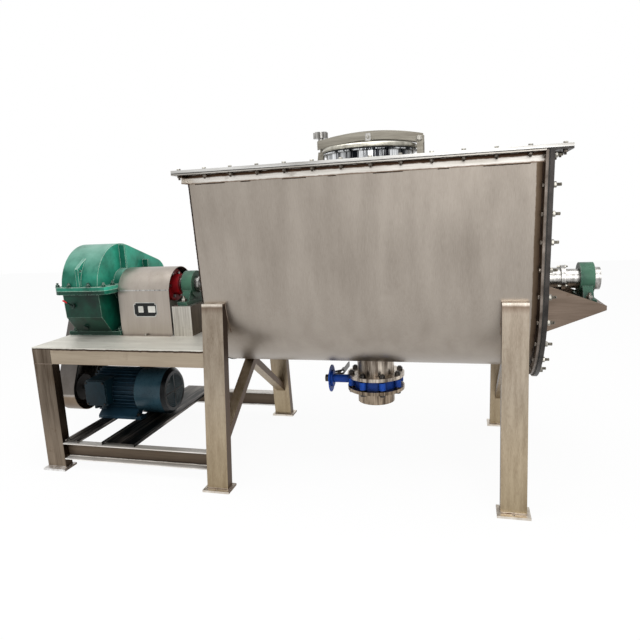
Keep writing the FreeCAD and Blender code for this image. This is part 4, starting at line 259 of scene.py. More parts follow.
# Pipe tints by height: the neck above 0.5 m is painted paler than the spigot, a painted light against the
# shade under the vessel.
PIPE_TINTS = [(0.30, "#c9c0b5"), (0.45, "#c9c0b5"), (0.50, "#ffffff"), (0.62, "#ffffff")]
vessel_steel = stainless("brushed_vessel_sheet", "#a89f95", "#948b81", "Z", stain=0.10, long=6, band_mm=90,
                         zones={"X": FLANGE_HEAT})
plate_steel = stainless("rolled_guard_sheet", "#afa69d", "#9b9288", "Z", rough=0.30, stain=0.1)
shield_steel = stainless("belt_guard_sheet", "#e8e6e3", "#c4bfba", "Z", rough=0.34, stain=0.2,
                         zones={"Z": SHIELD_TINTS})
rim_steel = stainless("pickled_rim_sheet", "#ebe8e4", "#b6afa5", "X", rough=0.36, band_mm=30, stain=0.45,
                      zones={"Z": RIM_TINTS})
lid_steel = stainless("sheared_lid_plate", "#dcdbd8", "#83807b", "X", rough=0.36, band_mm=26, stain=0.35,
                      long=16)
# Faces square to X are darkened: painted shade on the sides of the legs.
leg_steel = stainless("brushed_leg_sheet", "#f2eee8", "#c4bbb0", "Z", rough=0.38, band_mm=26, long=24,
                      stain=0.4, zones={"Z": LEG_TINTS}, sides=("X", "#7a6656", "#ffffff"))
# Faces square to X are darkened: painted shade on the sides of the table legs.
table_leg_steel = stainless("weathered_leg_sheet", "#ffffff", "#83776b", "Z", rough=0.42, band_mm=30, long=14,
                            stain=0.6, zones={"Z": TABLE_LEG_TINTS}, sides=("X", "#75685c", "#ffffff"))
# Faces square to X are darkened: painted shade on the sides of the pedestal.
pedestal_steel = stainless("brushed_pedestal_sheet", "#cdc9c1", "#857e74", "Z", rough=0.34, band_mm=16,
                           long=20, stain=0.3, sides=("X", "#8d8175", "#ffffff"))
bracket_steel = stainless("scorched_bracket_sheet", "#85766a", "#574a3f", "X", rough=0.42, band_mm=70,
                          stain=0.4)
deck_steel = stainless("brushed_table_sheet", "#eceae4", "#c6c3ba", "X", rough=0.50, band_mm=80, stain=0.3,
                       metal=0.8, zones={"Z": DECK_TINTS})
beam_steel = stainless("channel_steel", "#fbf9f5", "#c2bab0", "X", rough=0.45, band_mm=50, stain=0.5,
                       metal=0.6, zones={"Z": BEAM_TINTS})
# The rails are near black with pale scratches: the black is painted shade of the channels.
dark_steel = stainless("oily_rail_steel", "#a49d95", "#0f0d0b", "Y", rough=0.44, band_mm=12, long=50,
                       stain=0.6, soft=0.06, middle=0.56)
bright_steel = stainless("polished_stainless", "#c4c2be", "#4a4744", "Z", rough=0.26, band_mm=16, stain=0.1)
# Dark and bright streaks along the collar are painted reflections.
mirror_steel = stainless("mirror_polished_collar", "#e8eaec", "#101216", "Z", rough=0.24, band_mm=40, long=40,
                         stain=0.0, soft=0.04, middle=0.52)
cover_spinning = stainless("spun_cover_sheet", "#c3c0b4", "#7a776d", "Z", rough=0.34, band_mm=40, stain=0.2)
arm_steel = stainless("forged_arm_steel", "#8e8a80", "#625d54", "X", rough=0.40, band_mm=30, stain=0.4)
pipe_steel = stainless("welded_pipe_steel", "#e6dacb", "#554a40", "Z", rough=0.30, band_mm=24, stain=0.4,
                       soft=0.08, zones={"Z": PIPE_TINTS})
worn_steel = stainless("blasted_stainless", "#8f8b85", "#66625c", "Y", rough=0.5, band_mm=30)
turned_steel = stainless("turned_steel", "#a9a9a8", "#6f6f6e", "Y", rough=0.3, band_mm=12, streak_mm=1.5)
zinc_steel = stainless("zinc_plated_steel", "#b9b6ad", "#57534d", "Z", rough=0.32, band_mm=7, stain=0.3)
# A darker copy of the zinc steel for the nuts under the rim and the heads behind the end flange: painted
# shade.
dull_zinc = stainless("dulled_zinc_nut", "#8a8279", "#332d27", "Z", rough=0.36, band_mm=7, stain=0.5)
black_bolt = stainless("blackened_bolt_steel", "#5a5653", "#181614", "Z", rough=0.36, band_mm=7, stain=0.3)

# %% [markdown]
# ## Cut edges
# The end flange and the end plate are plasma-cut. Their faces are brushed, but the cut edge keeps
# its brown oxide. The faces look along the shaft, so the surface normal tells face from edge.


# %% Cut edges
def cut_plate(name, face_light, face_dark, edge_light, edge_dark):
    """Brushed faces square to the shaft, oxide on every other side."""
    made, tree, shader, place = start_material(name)
    wide, drag = noise(tree, place, 9.0, 6.0, 0.6), noise(tree, place, 400.0, 2.0)
    face = ramp(tree, wide, [(0.3, face_dark), (0.7, face_light)])
    edge = ramp(tree, wide, [(0.35, edge_dark), (0.65, edge_light)])
    is_face = facing(tree, "X")
    colour = add(tree, "ShaderNodeMix", {0: is_face, 6: edge, 7: face}, data_type="RGBA")
    tree.links.new(colour.outputs[2], shader.inputs["Base Color"])
    tree.links.new(spread(tree, drag, 0.3, 0.62), shader.inputs["Roughness"])
    bump = add(tree, "ShaderNodeBump", {"Height": drag}, Strength=0.3, Distance=0.0006)
    tree.links.new(bump.outputs["Normal"], shader.inputs["Normal"])
    tree.links.new(spread(tree, is_face, 0.55, 1.0), shader.inputs["Metallic"])
    return made


flange_steel = cut_plate("plasma_cut_flange", "#8a7b6b", "#5c4d40", "#8f857c", "#4f453d")
cover_steel = cut_plate("plasma_cut_end_plate", "#c4bcb0", "#978e82", "#4b4643", "#24211f")

dress("trough_shell drive_end_plate", vessel_steel)
dress("rim_angle", rim_steel)
dress("lid_plate", lid_steel)
dress("trough_end_flange", flange_steel)
dress("removable_end_plate", cover_steel)
dress("coupling_guard", plate_steel)
dress("belt_guard", shield_steel)
dress("vessel_legs", leg_steel)
dress("table_legs", table_leg_steel)
dress("bearing_pedestal", pedestal_steel)
dress("tail_bracket", bracket_steel)
dress("table_deck", deck_steel)
dress("lower_beams", beam_steel)
dress("motor_rails", dark_steel)
dress("manhole_arm lid_lugs swing_bolt", arm_steel)
dress("outlet_neck outlet_spigot", pipe_steel)
dress("manhole_cover", cover_spinning)
dress("gland_necks gland_followers star_knob bearing_rings", bright_steel)
dress("manhole_collar", mirror_steel)
dress("plough_arms ploughshares", worn_steel)
dress("main_shaft output_shaft middle_shaft input_shaft coupling_pins case_bearings valve_disc"
      " motor_rotor", turned_steel)
dress("end_plate_bolts lid_bolts", zinc_steel)
dress("valve_bolts valve_lever latch_trigger valve_stem", black_bolt)
print("stainless finishes on", sum(len(o.data.materials) > 0 for o in NODES.values()), "nodes")

# %% [markdown]
# ## Painted castings
# Reducer, motor, valve and bearings are sand castings with a coat of machine enamel. The enamel
# follows the sand texture, the hollows are darkened with grime and painted shade, and the coat is
# knocked off the sharp edges, where grey primer and iron show. The Bevel node finds the edges: where
# its rounded normal leaves the true one, an edge is near. The Ambient Occlusion node finds the hollows.
# Some parts get a darker copy of a paint, or tints by the way a face looks: painted shade and light.


# %% Painted castings
def enamel(name, paint, deep, chip, wear=0.5, rough=0.35, sand_mm=2.5, edge_mm=4.0, grime=0.75,
           faded=None, sides=None):
    """Machine enamel on a casting, darkened in its hollows with grime and painted shade, and chipped
    along its edges. The faded tone goes on the faces that look up, as worn paint with a painted
    highlight; sides works as on the steels, as painted shade and light by the way a face looks."""
    made, tree, shader, place = start_material(name)
    patches = noise(tree, place, 1000 / 160, 5.0, 0.6)
    coat = ramp(tree, patches, [(0.36, deep), (0.62, paint)])
    # Faces that look up are paler: faded, worn paint with a painted highlight.
    if faded:
        normal = add(tree, "ShaderNodeNewGeometry").outputs["Normal"]
        upward = add(tree, "ShaderNodeSeparateXYZ", {"Vector": normal}).outputs["Z"]
        dry = add(tree, "ShaderNodeMath", {0: upward, 1: patches}, operation="MULTIPLY").outputs["Value"]
        coat = covered(tree, spread(tree, dry, 0.0, 1.0, 0.16, 0.58), coat, faded)
    # Faces square to one axis are tinted apart from the rest: painted shade or painted light by the way a
    # face looks.
    if sides:
        axis, square, other = sides
        coat = tinted(tree, coat, ramp(tree, facing(tree, axis), [(0.0, other), (1.0, square)]))
    # Hollows darkened towards a dim copy of the deep colour: grime with painted shade.
    hollow = add(tree, "ShaderNodeAmbientOcclusion", samples=6, Distance=0.12).outputs["AO"]
    muck = add(tree, "ShaderNodeMix", {0: spread(tree, hollow, 1 - grime, 1.0, 0.35, 0.9), 7: coat},
               data_type="RGBA")
    muck.inputs[6].default_value = [0.3 * c for c in linear(deep)[:3]] + [1]
    bevel = add(tree, "ShaderNodeBevel", samples=4, Radius=edge_mm / 1000).outputs["Normal"]
    true = add(tree, "ShaderNodeNewGeometry").outputs["Normal"]
    across = add(tree, "ShaderNodeVectorMath", {0: bevel, 1: true}, operation="DOT_PRODUCT").outputs["Value"]
    edge = spread(tree, across, 0.0, 1.0, 0.985, 0.86)
    nicks = noise(tree, place, 1000 / 14, 6.0, 0.7)
    knocked = spread(tree, nicks, 0.0, 1.0, 0.62 - 0.2 * wear, 0.66 - 0.2 * wear)
    lost = add(tree, "ShaderNodeMath", {0: edge, 1: knocked}, operation="MULTIPLY").outputs["Value"]
    colour = covered(tree, lost, muck.outputs[2], chip)
    tree.links.new(colour, shader.inputs["Base Color"])
    tree.links.new(spread(tree, nicks, rough - 0.12, rough + 0.2), shader.inputs["Roughness"])
    shader.inputs["Specular IOR Level"].default_value = 0.28
    height = mean(tree, noise(tree, place, 1000 / sand_mm, 2.0), lost, 0.3)
    bump = add(tree, "ShaderNodeBump", {"Height": height}, Strength=0.35, Distance=0.0008)
    bump.invert = True
    tree.links.new(bump.outputs["Normal"], shader.inputs["Normal"])
    return made


# Top faces paler as faded paint with a painted highlight; faces not square to X darker, a painted light on
# the shaded X side.
green_paint = enamel("green_machine_enamel", "#38ac90", "#17705a", "#c9dccd", wear=1.2, grime=0.6,
                     faded="#9ccfbe", sides=("X", "#ffffff", "#bcc2c0"))
# A darker copy of the reducer's green for its lower case, with the faces not square to X darker still:
# painted shade.
sump_paint = enamel("green_sump_enamel", "#0e6a54", "#07382c", "#8fae9e", wear=1.0, grime=0.8,
                    sides=("X", "#f4f6f5", "#8f9e99"))
bolt_paint = enamel("dirty_green_bolt_enamel", "#1d5544", "#0d2a22", "#93a398", wear=0.8, grime=0.6)
teal_paint = enamel("teal_machine_enamel", "#27465a", "#152f3c", "#50646a", wear=0.4, rough=0.34)
# The fan cover's faces square to X are near black: painted shade of the cowl's inside behind the grille.
cowl_paint = enamel("teal_cowl_enamel", "#34525f", "#223d49", "#50646a", wear=0.3, rough=0.26,
                    sides=("X", "#2a2e30", "#ffffff"))
# A darker copy of the motor's teal for the terminal box under the table: painted shade.
box_paint = enamel("teal_box_enamel", "#0c2a35", "#061820", "#5c7076", wear=0.5, rough=0.34)
blue_paint = enamel("blue_valve_enamel", "#0048ac", "#002c78", "#3d64a8", wear=0.2, rough=0.5)
red_paint = enamel("red_coupling_enamel", "#b8161f", "#7a1018", "#54403c", wear=0.6, rough=0.4, grime=0.3)
bearing_paint = enamel("grey_green_enamel", "#3f6b55", "#24463a", "#8c938c", wear=0.8, rough=0.4)
iron_paint = enamel("black_pulley_iron", "#2a2523", "#141110", "#5a5350", wear=0.5, rough=0.5)
dress("reducer_cover bearing_caps", green_paint)
dress("reducer_base", sump_paint)
dress("motor_frame", teal_paint)
dress("fan_cover", cowl_paint)
dress("terminal_box", box_paint)
dress("valve_body notch_plate", blue_paint)
dress("machine_coupling_half reducer_coupling_half driven_pulley", red_paint)
dress("motor_pulley", iron_paint)
dress("bearing_housings", bearing_paint)
print("painted castings dressed")

# %% [markdown]
# ## Rubber, packing and the red cap
# Gaskets and belts are black rubber with a dusty bloom, and the gland packing is greased braid.
# The dipstick and the drain plug are enamelled with the case, and the dipstick ends in a red cap.


# %% Rubber, packing and the red cap
def plain_stuff(name, light, dark, rough, grain_mm, metal=0.0, depth=0.3):
    """A moulded or cast stuff whose tone and gloss change over a fine grain."""
    made, tree, shader, place = start_material(name)
    patch, grain = noise(tree, place, 1000 / 60, 4.0), noise(tree, place, 1000 / grain_mm, 2.0)
    tree.links.new(ramp(tree, patch, [(0.3, dark), (0.7, light)]), shader.inputs["Base Color"])
    tree.links.new(spread(tree, patch, rough - 0.1, rough + 0.1), shader.inputs["Roughness"])
    bump = add(tree, "ShaderNodeBump", {"Height": grain}, Strength=depth, Distance=0.0004)
    tree.links.new(bump.outputs["Normal"], shader.inputs["Normal"])
    shader.inputs["Metallic"].default_value = metal
    return made


def red_tipped():
    """Dark enamelled fittings; the end of the dipstick is a red moulded cap."""
    made = enamel("dipstick_and_plug_enamel", "#16332a", "#0a1a15", "#6d7f76", wear=0.4)
    tree = made.node_tree
    shader = tree.nodes["Principled BSDF"]
    old = shader.inputs["Base Color"].links[0].from_socket
    front = add(tree, "ShaderNodeSeparateXYZ", {"Vector": add(tree, "ShaderNodeTexCoord").outputs["Object"]})
    tip = add(tree, "ShaderNodeMath", {0: front.outputs["Y"]}, operation="LESS_THAN")
    tip.inputs[1].default_value = STICK_CAP
    tree.links.new(covered(tree, tip.outputs["Value"], old, "#d4202b"), shader.inputs["Base Color"])
    return made


STICK_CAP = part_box("oil_fittings")[0].y + 0.030
rubber = plain_stuff("black_sheet_rubber", "#2b2a28", "#161514", 0.62, 1.5)
packing = plain_stuff("greased_packing", "#7a7564", "#4d493c", 0.7, 3.0)
dress("gaskets valve_seat v_belts", rubber)
dress("oil_fittings", red_tipped())
dress("gland_packings", packing)
print("soft and small finishes dressed")

# %% [markdown]
# ## What repeats: bolts
# The machine is held by well over a hundred bolts. Each row could be placed by hand, but the rows
# follow rules, so a Geometry Nodes tree sets one small bolt on every point of a row, turns each by
# its own random angle as a fitter's spanner leaves it, and makes the row real. The bolt itself is
# a turned profile of six sides with a chamfered top, on a washer.


# %% Trees
def new_tree(name, sizes):
    """An empty modifier tree with named number inputs."""
    tree = bpy.data.node_groups.new(name, "GeometryNodeTree")
    tree.is_modifier = True
    tree.interface.new_socket("Geometry", in_out="INPUT", socket_type="NodeSocketGeometry")
    for label, kind in sizes:
        tree.interface.new_socket(label, in_out="INPUT", socket_type="NodeSocket" + kind)
    tree.interface.new_socket("Geometry", in_out="OUTPUT", socket_type="NodeSocketGeometry")
    return tree, add(tree, "NodeGroupInput").outputs, add(tree, "NodeGroupOutput")


def grow(name, mesh, tree, sizes, ride_on="frame"):
    """Run a tree on a mesh, keep the result as a plain mesh, and let it ride on a body."""
    seed = bpy.data.objects.new(name, mesh)
    bpy.context.scene.collection.objects.link(seed)
    grower = seed.modifiers.new("grow", "NODES")
    grower.node_group = tree
    for item in tree.interface.items_tree:
        if item.in_out == "INPUT" and item.name in sizes:
            grower[item.identifier] = sizes[item.name]
    made_mesh = bpy.data.meshes.new_from_object(seed.evaluated_get(bpy.context.evaluated_depsgraph_get()))
    seed.modifiers.clear()
    seed.data = made_mesh
    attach(seed, ride_on)
    return seed


bolt_tree, given, out = new_tree("bolts_on_points", [("Bolt", "Object"), ("Scatter", "Float"),
                                                      ("Steel", "Material")])
kit = add(bolt_tree, "GeometryNodeObjectInfo", {"Object": given["Bolt"]}).outputs["Geometry"]
aim = add(bolt_tree, "GeometryNodeInputNamedAttribute", data_type="FLOAT_VECTOR", Name="turn")
rows = add(bolt_tree, "GeometryNodeInstanceOnPoints",
           {"Points": given["Geometry"], "Instance": kit, "Rotation": aim.outputs["Attribute"]})
spin = add(bolt_tree, "FunctionNodeRandomValue", {3: given["Scatter"]}, Seed=7)
about = add(bolt_tree, "ShaderNodeCombineXYZ", {"Z": spin.outputs[1]})
turned = add(bolt_tree, "GeometryNodeRotateInstances", {"Instances": rows.outputs["Instances"],
                                                       "Rotation": about.outputs["Vector"]}, Local_Space=True)
real = add(bolt_tree, "GeometryNodeRealizeInstances", {"Geometry": turned.outputs["Instances"]})
steel = add(bolt_tree, "GeometryNodeSetMaterial", {"Geometry": real.outputs["Geometry"],
                                                  "Material": given["Steel"]})
bolt_tree.links.new(steel.outputs["Geometry"], out.inputs["Geometry"])


def lathe(name, rings):
    """Closed solids about Z: each ring list holds (sides, [(radius, height), ...])."""
    mesh = bpy.data.meshes.new(name)
    build = bmesh.new()
    for sides, profile in rings:
        loops = []
        for radius, height in profile:
            loops.append([build.verts.new((radius * math.cos(2 * math.pi * i / sides),
                                           radius * math.sin(2 * math.pi * i / sides), height))
                          for i in range(sides)])
        for low, high in zip(loops, loops[1:]):
            for i in range(sides):
                j = (i + 1) % sides
                build.faces.new((low[i], low[j], high[j], high[i]))
        build.faces.new(loops[0][::-1])
        build.faces.new(loops[-1])
    build.to_mesh(mesh)
    build.free()
    return mesh


def bolt_kit(name, flats, height, tail=0.0):
    """Washer, six-sided head or nut with chamfers, and for a nut the thread that stands out."""
    corner, thick = flats / math.sqrt(3), flats * 0.12
    rings = [(20, [(flats * 0.62, 0), (flats * 0.62, thick), (flats * 0.5, thick)]),
             (6, [(corner * 0.93, thick), (corner, thick + height * 0.12), (corner, height * 0.86),
                  (corner * 0.88, height)])]
    if tail:
        thread, pitch = flats * 0.32, flats * 0.1
        steps = [(thread, height * 0.9)]
        for index in range(int((tail - height) / pitch)):
            steps += [(thread * 0.86, height + pitch * (index + 0.5)), (thread, height + pitch * (index + 1))]
        rings.append((12, steps + [(thread * 0.7, tail)]))
    return bpy.data.objects.new(name, lathe(name, rings))


def row_of(points, directions):
    """A mesh of loose points that remembers where each bolt's axis aims."""
    mesh = bpy.data.meshes.new("row")
    mesh.from_pydata([tuple(p) for p in points], [], [])
    turn_to = mesh.attributes.new("turn", "FLOAT_VECTOR", "POINT")
    for slot, direction in zip(turn_to.data, directions):
        slot.vector = Vector(direction).to_track_quat("Z", "Y").to_euler()
    return mesh


def bolts(name, points, direction, kit_object, material, ride_on="frame"):
    aims = direction if isinstance(direction, list) else [direction] * len(points)
    made = grow(name, row_of(points, aims), bolt_tree,
                {"Bolt": kit_object, "Scatter": math.pi, "Steel": material}, ride_on)
    print(name, len(points), "bolts,", len(made.data.polygons), "faces")
    return made


# %% Lid bolts
lid_low, lid_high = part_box("lid_plate")
RIM_SHEET = 0.006
rim_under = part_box("rim_angle")[1].z - RIM_SHEET
inset, columns, rows_across = 0.030, 14, 9
step = (lid_high.x - lid_low.x - 2 * inset) / (columns - 1)
along = [lid_low.x + inset + step * i for i in range(columns)]
half = lid_high.y - inset
across = [-half + 2 * half * i / (rows_across - 1) for i in range(1, rows_across - 1)]
lid_spots = [(x, y) for x in along for y in (-half, half)]
lid_spots += [(x, y) for x in along[::columns - 1] for y in across]
head_kit = bolt_kit("bolt_head_m12", 0.018, 0.0095)
nut_kit = bolt_kit("bolt_nut_m12", 0.018, 0.012, tail=0.022)
heads = bolts("lid_bolt_heads", [(x, y, lid_high.z) for x, y in lid_spots], (0, 0, 1), head_kit, zinc_steel)
bolts("lid_bolt_nuts", [(x, y, rim_under) for x, y in lid_spots], (0, 0, -1), nut_kit, dull_zinc)
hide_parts("lid_bolts")

# %% [markdown]
# ## The vessel's outline
# Many things follow the U of the vessel: the bolts of the end plate, the weld at the drive end.
# One function walks that U at a given distance outside the sheet: down the leaning front, round
# the bottom and up the back.


# %% The U outline
SHAFT = 1.07
LEAN = math.radians(4.6)


def u_path(x, radius, top, steps):
    """Even steps along the U, from the front top to the back top."""
    low = -radius * math.sin(LEAN)
    straight = (top - SHAFT - low) / math.cos(LEAN)
    whole = straight + radius * (math.pi / 2 - LEAN)
    places = []
    for index in range(steps + 1):
        run = whole * index / steps
        if run <= straight:
            height = top - SHAFT - run * math.cos(LEAN)
            places.append((x, -(radius + height * math.sin(LEAN)) / math.cos(LEAN), SHAFT + height))
        else:
            angle = LEAN + (run - straight) / radius
            places.append((x, -radius * math.cos(angle), SHAFT - radius * math.sin(angle)))
    return places + [(x, -y, z) for x, y, z in places[-2::-1]]


END_PLATE, BOLT_RING, RING_TOP, RING_STEPS = 0.018, 0.497, 1.676, 11
flange_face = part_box("trough_end_flange")[0].x
cover_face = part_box("removable_end_plate")[0].x + END_PLATE
ring = u_path(0, BOLT_RING, RING_TOP, RING_STEPS)
inner = bolts("end_bolt_heads", [(flange_face, y, z) for _, y, z in ring], (-1, 0, 0), head_kit, dull_zinc)
bolts("end_bolt_nuts", [(cover_face, y, z) for _, y, z in ring], (1, 0, 0),
      bolt_kit("stud_nut_m16", 0.024, 0.015, tail=0.036), zinc_steel)
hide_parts("end_plate_bolts")

# %% [markdown]
# ## Reducer and motor bolts
# The two halves of the reducer's case are bolted along their flanges, each bearing cap has a
# circle of bolts, and the motor has bolts in its feet and in the lid of its terminal box.

# %% Reducer and motor bolts
CASE_X, TABLE_TOP = -1.762, 0.77
COVER_FLANGE, CASE_FOOT, CAP_FACE = 0.023, 0.026, 0.204
SEAM_HALF, SEAM_END_HALF = 0.165, 0.07
SEAM_Y, SEAM_END_Y = (-0.262, -0.17, 0.16, 0.33, 0.47, 0.562), (-0.281, 0.577)
CAP_CIRCLES = ((0, 0.090), (0.26, 0.060), (0.41, 0.047))
seam_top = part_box("reducer_cover")[0].z + COVER_FLANGE
seam_spots = [(CASE_X + side * SEAM_HALF, y, seam_top) for side in (-1, 1) for y in SEAM_Y]
seam_spots += [(CASE_X + side * SEAM_END_HALF, y, seam_top) for side in (-1, 1) for y in SEAM_END_Y]
m16 = bolt_kit("bolt_head_m16", 0.024, 0.013)
m16_nut = bolt_kit("bolt_nut_m16", 0.024, 0.015, tail=0.027)
m10 = bolt_kit("bolt_head_m10", 0.016, 0.009)
bolts("case_bolts", seam_spots, (0, 0, 1), m16_nut, bolt_paint)
foot_spots = [(CASE_X + side * SEAM_HALF, y, TABLE_TOP + CASE_FOOT) for side in (-1, 1)
              for y in (-0.145, 0.02, 0.3, 0.455)]
bolts("case_foot_bolts", foot_spots, (0, 0, 1), m16_nut, bolt_paint)
cap_spots, cap_aims = [], []
for y, radius in CAP_CIRCLES:
    for side in (-1, 1):
        for index in range(6):
            angle = math.pi / 6 + index * math.pi / 3
            cap_spots.append((CASE_X + side * CAP_FACE, y + radius * math.cos(angle),
                              SHAFT + radius * math.sin(angle)))
            cap_aims.append((side, 0, 0))
bolts("cap_bolts", cap_spots, cap_aims, m10, green_paint)
MOTOR_Y, MOTOR_Z = 0.02, 0.35
MOTOR_FEET_X, MOTOR_FOOT_HALF, MOTOR_FOOT_TOP = (-1.809, -1.555), 0.127, 0.21
BOX_LID, BOX_LID_LOW, BOX_LID_HIGH = 0.005, 0.304, 0.464
SCREW_SIDE, SCREW_END = 0.014, 0.010
cowl_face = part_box("fan_cover")[1].x
box_low, box_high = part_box("terminal_box")
lid_face = box_low.y - BOX_LID
box_spots = [(x, lid_face, z) for x in (box_low.x + SCREW_SIDE, box_high.x - SCREW_SIDE)
             for z in (BOX_LID_LOW + SCREW_END, BOX_LID_HIGH - SCREW_END)]
m6 = bolt_kit("bolt_head_m6", 0.010, 0.005)
bolts("terminal_box_screws", box_spots, (0, -1, 0), m6, black_bolt)
motor_foot_spots = [(x, MOTOR_Y + side * MOTOR_FOOT_HALF, MOTOR_FOOT_TOP) for x in MOTOR_FEET_X
                    for side in (-1, 1)]
bolts("motor_foot_bolts", motor_foot_spots, (0, 0, 1), m16, black_bolt)

# %% [markdown]
# ## Bearings and glands
# Each pillow block is held by two bolts, and each gland follower is pulled in by three studs
# with a nut on the follower's face.

# %% Bearing and gland bolts
BEARING_HEIGHT, BEARING_FOOT, BEARING_HALF = 0.115, 0.024, 0.13
base_top = SHAFT - BEARING_HEIGHT + BEARING_FOOT
bearing_spots = [(x, side * BEARING_HALF, base_top) for x in (-1.135, 1.161) for side in (-1, 1)]
bearing_nut = bolt_kit("bearing_nut", 0.030, 0.018, tail=0.034)
bolts("bearing_bolts", bearing_spots, (0, 0, 1), bearing_nut, zinc_steel)


def rod(name, start, end, radius, material, sides=12):
    """A plain stud between two points, closed at both ends."""
    start, end = Vector(start), Vector(end)
    mesh = lathe(name, [(sides, [(radius, 0), (radius, (end - start).length)])])
    turn_to = (end - start).to_track_quat("Z", "Y").to_matrix().to_4x4()
    mesh.transform(Matrix.Translation(start) @ turn_to)
    made = bpy.data.objects.new(name, mesh)
    bpy.context.scene.collection.objects.link(made)
    made.data.materials.append(material)
    return made


def joined(name, pieces, ride_on="frame"):
    """Several meshes as one piece on a body."""
    build = bmesh.new()
    for piece in pieces:
        build.from_mesh(piece.data)
    mesh = bpy.data.meshes.new(name)
    build.to_mesh(mesh)
    build.free()
    mesh.materials.append(pieces[0].data.materials[0])
    for piece in pieces:
        bpy.data.objects.remove(piece)
    made = bpy.data.objects.new(name, mesh)
    bpy.context.scene.collection.objects.link(made)
    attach(made, ride_on)
    return made


STUD_CIRCLE, STUD_RADIUS, STUD_ROOT, STUD_TIP = 0.0655, 0.0045, 0.012, 0.002
studs, stud_nuts, stud_aims = [], [], []
for end, way in ((0, -1), (1, 1)):
    root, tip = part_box("gland_necks")[end].x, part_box("gland_followers")[end].x
    for index in range(3):
        angle = math.pi / 2 + index * 2 * math.pi / 3
        y, z = STUD_CIRCLE * math.cos(angle), SHAFT + STUD_CIRCLE * math.sin(angle)
        studs.append(rod("stud", (root - way * STUD_ROOT, y, z), (tip + way * STUD_TIP, y, z),
                         STUD_RADIUS, zinc_steel))
        stud_nuts.append((tip, y, z))
        stud_aims.append((way, 0, 0))
joined("gland_studs", studs)
bolts("gland_nuts", stud_nuts, stud_aims, bolt_kit("gland_nut", 0.014, 0.009, tail=0.018), zinc_steel)

# %% [markdown]
# ## Weld beads
# The vessel and its frame are welded by hand, and every corner shows a rippled bead, burnt
# brown where it wasn't cleaned. A bead follows a path, so a tree resamples the path, sweeps a small round
# along it, and moves the points in and out in a fine wave, the way the puddle froze.

# %% Bead tree
bead_tree, given, out = new_tree("weld_bead", [("Width", "Float"), ("Step", "Float"), ("Steel", "Material")])
line = add(bead_tree, "GeometryNodeMeshToCurve", {"Mesh": given["Geometry"]}).outputs["Curve"]
even = add(bead_tree, "GeometryNodeResampleCurve", {"Curve": line, "Length": given["Step"]}, mode="LENGTH")
round_bar = add(bead_tree, "GeometryNodeCurvePrimitiveCircle", {"Radius": given["Width"]}, Resolution=6)
sweep = add(bead_tree, "GeometryNodeCurveToMesh",
            {"Curve": even.outputs["Curve"], "Profile Curve": round_bar.outputs["Curve"]}, Fill_Caps=True)
ripple = add(bead_tree, "ShaderNodeTexNoise", Scale=160.0, Detail=1.0)
centred = add(bead_tree, "ShaderNodeVectorMath", {0: ripple.outputs["Color"]}, operation="SUBTRACT")
centred.inputs[1].default_value = (0.5, 0.5, 0.5)
scaled = add(bead_tree, "ShaderNodeVectorMath", {0: centred.outputs["Vector"], "Scale": given["Width"]},
             operation="SCALE")
moved = add(bead_tree, "GeometryNodeSetPosition", {"Geometry": sweep.outputs["Mesh"],
                                                  "Offset": scaled.outputs["Vector"]})
real = add(bead_tree, "GeometryNodeRealizeInstances", {"Geometry": moved.outputs["Geometry"]})
steel = add(bead_tree, "GeometryNodeSetMaterial", {"Geometry": real.outputs["Geometry"],
                                                  "Material": given["Steel"]})
bead_tree.links.new(steel.outputs["Geometry"], out.inputs["Geometry"])


def beads(name, paths, width=0.003, step=0.006, material=None):
    mesh = bpy.data.meshes.new(name)
    points, edges = [], []
    for path in paths:
        start = len(points)
        points += [tuple(p) for p in path]
        edges += [(start + i, start + i + 1) for i in range(len(path) - 1)]
    mesh.from_pydata(points, edges, [])
    made = grow(name, mesh, bead_tree, {"Width": width, "Step": step, "Steel": material or weld_steel})
    print(name, len(paths), "beads,", len(made.data.polygons), "faces")
    return made


weld_steel = plain_stuff("weld_bead_steel", "#a3978a", "#5b4636", 0.42, 4.0, metal=1.0, depth=0.5)
burnt_weld = plain_stuff("burnt_weld_bead", "#3f3026", "#120c08", 0.5, 4.0, metal=0.8, depth=0.5)

# %% Weld beads on the vessel and frame
SHELL, DRIVE_END, FLANGE_END = 0.467, -0.8385, 0.8745
RIM_FOOT, FLANGE_TOP = 1.65, 1.69
vessel_paths = [u_path(DRIVE_END, SHELL + 0.0005, RIM_FOOT, 26)]
rim_y = (SHELL + (RIM_FOOT - SHAFT) * math.sin(LEAN)) / math.cos(LEAN) + 0.002
bead_z = RIM_FOOT - 0.0005
for start, length in ((-0.80, 0.16), (-0.55, 0.05), (-0.33, 0.12), (-0.10, 0.04), (0.12, 0.14), (0.42, 0.05),
                      (0.62, 0.2)):
    vessel_paths += [[(start, side * rim_y, bead_z), (start + length, side * rim_y, bead_z)]
                     for side in (-1, 1)]
beads("vessel_welds", vessel_paths, 0.0036, material=burnt_weld)
beads("flange_weld", [u_path(FLANGE_END, SHELL + 0.0015, FLANGE_TOP, 30)], 0.0040, material=burnt_weld)
LEG_X, LEG_HALF, LEG_TOP = 0.772, 0.061, 1.021
LEG_FRONT, LEG_BACK, FOOT_PLATE = 0.555, 0.615, 0.0125
leg_paths = []
first = math.asin((LEG_TOP - SHAFT) / SHELL)
arc = [first - i * math.radians(22) / 12 for i in range(13)]
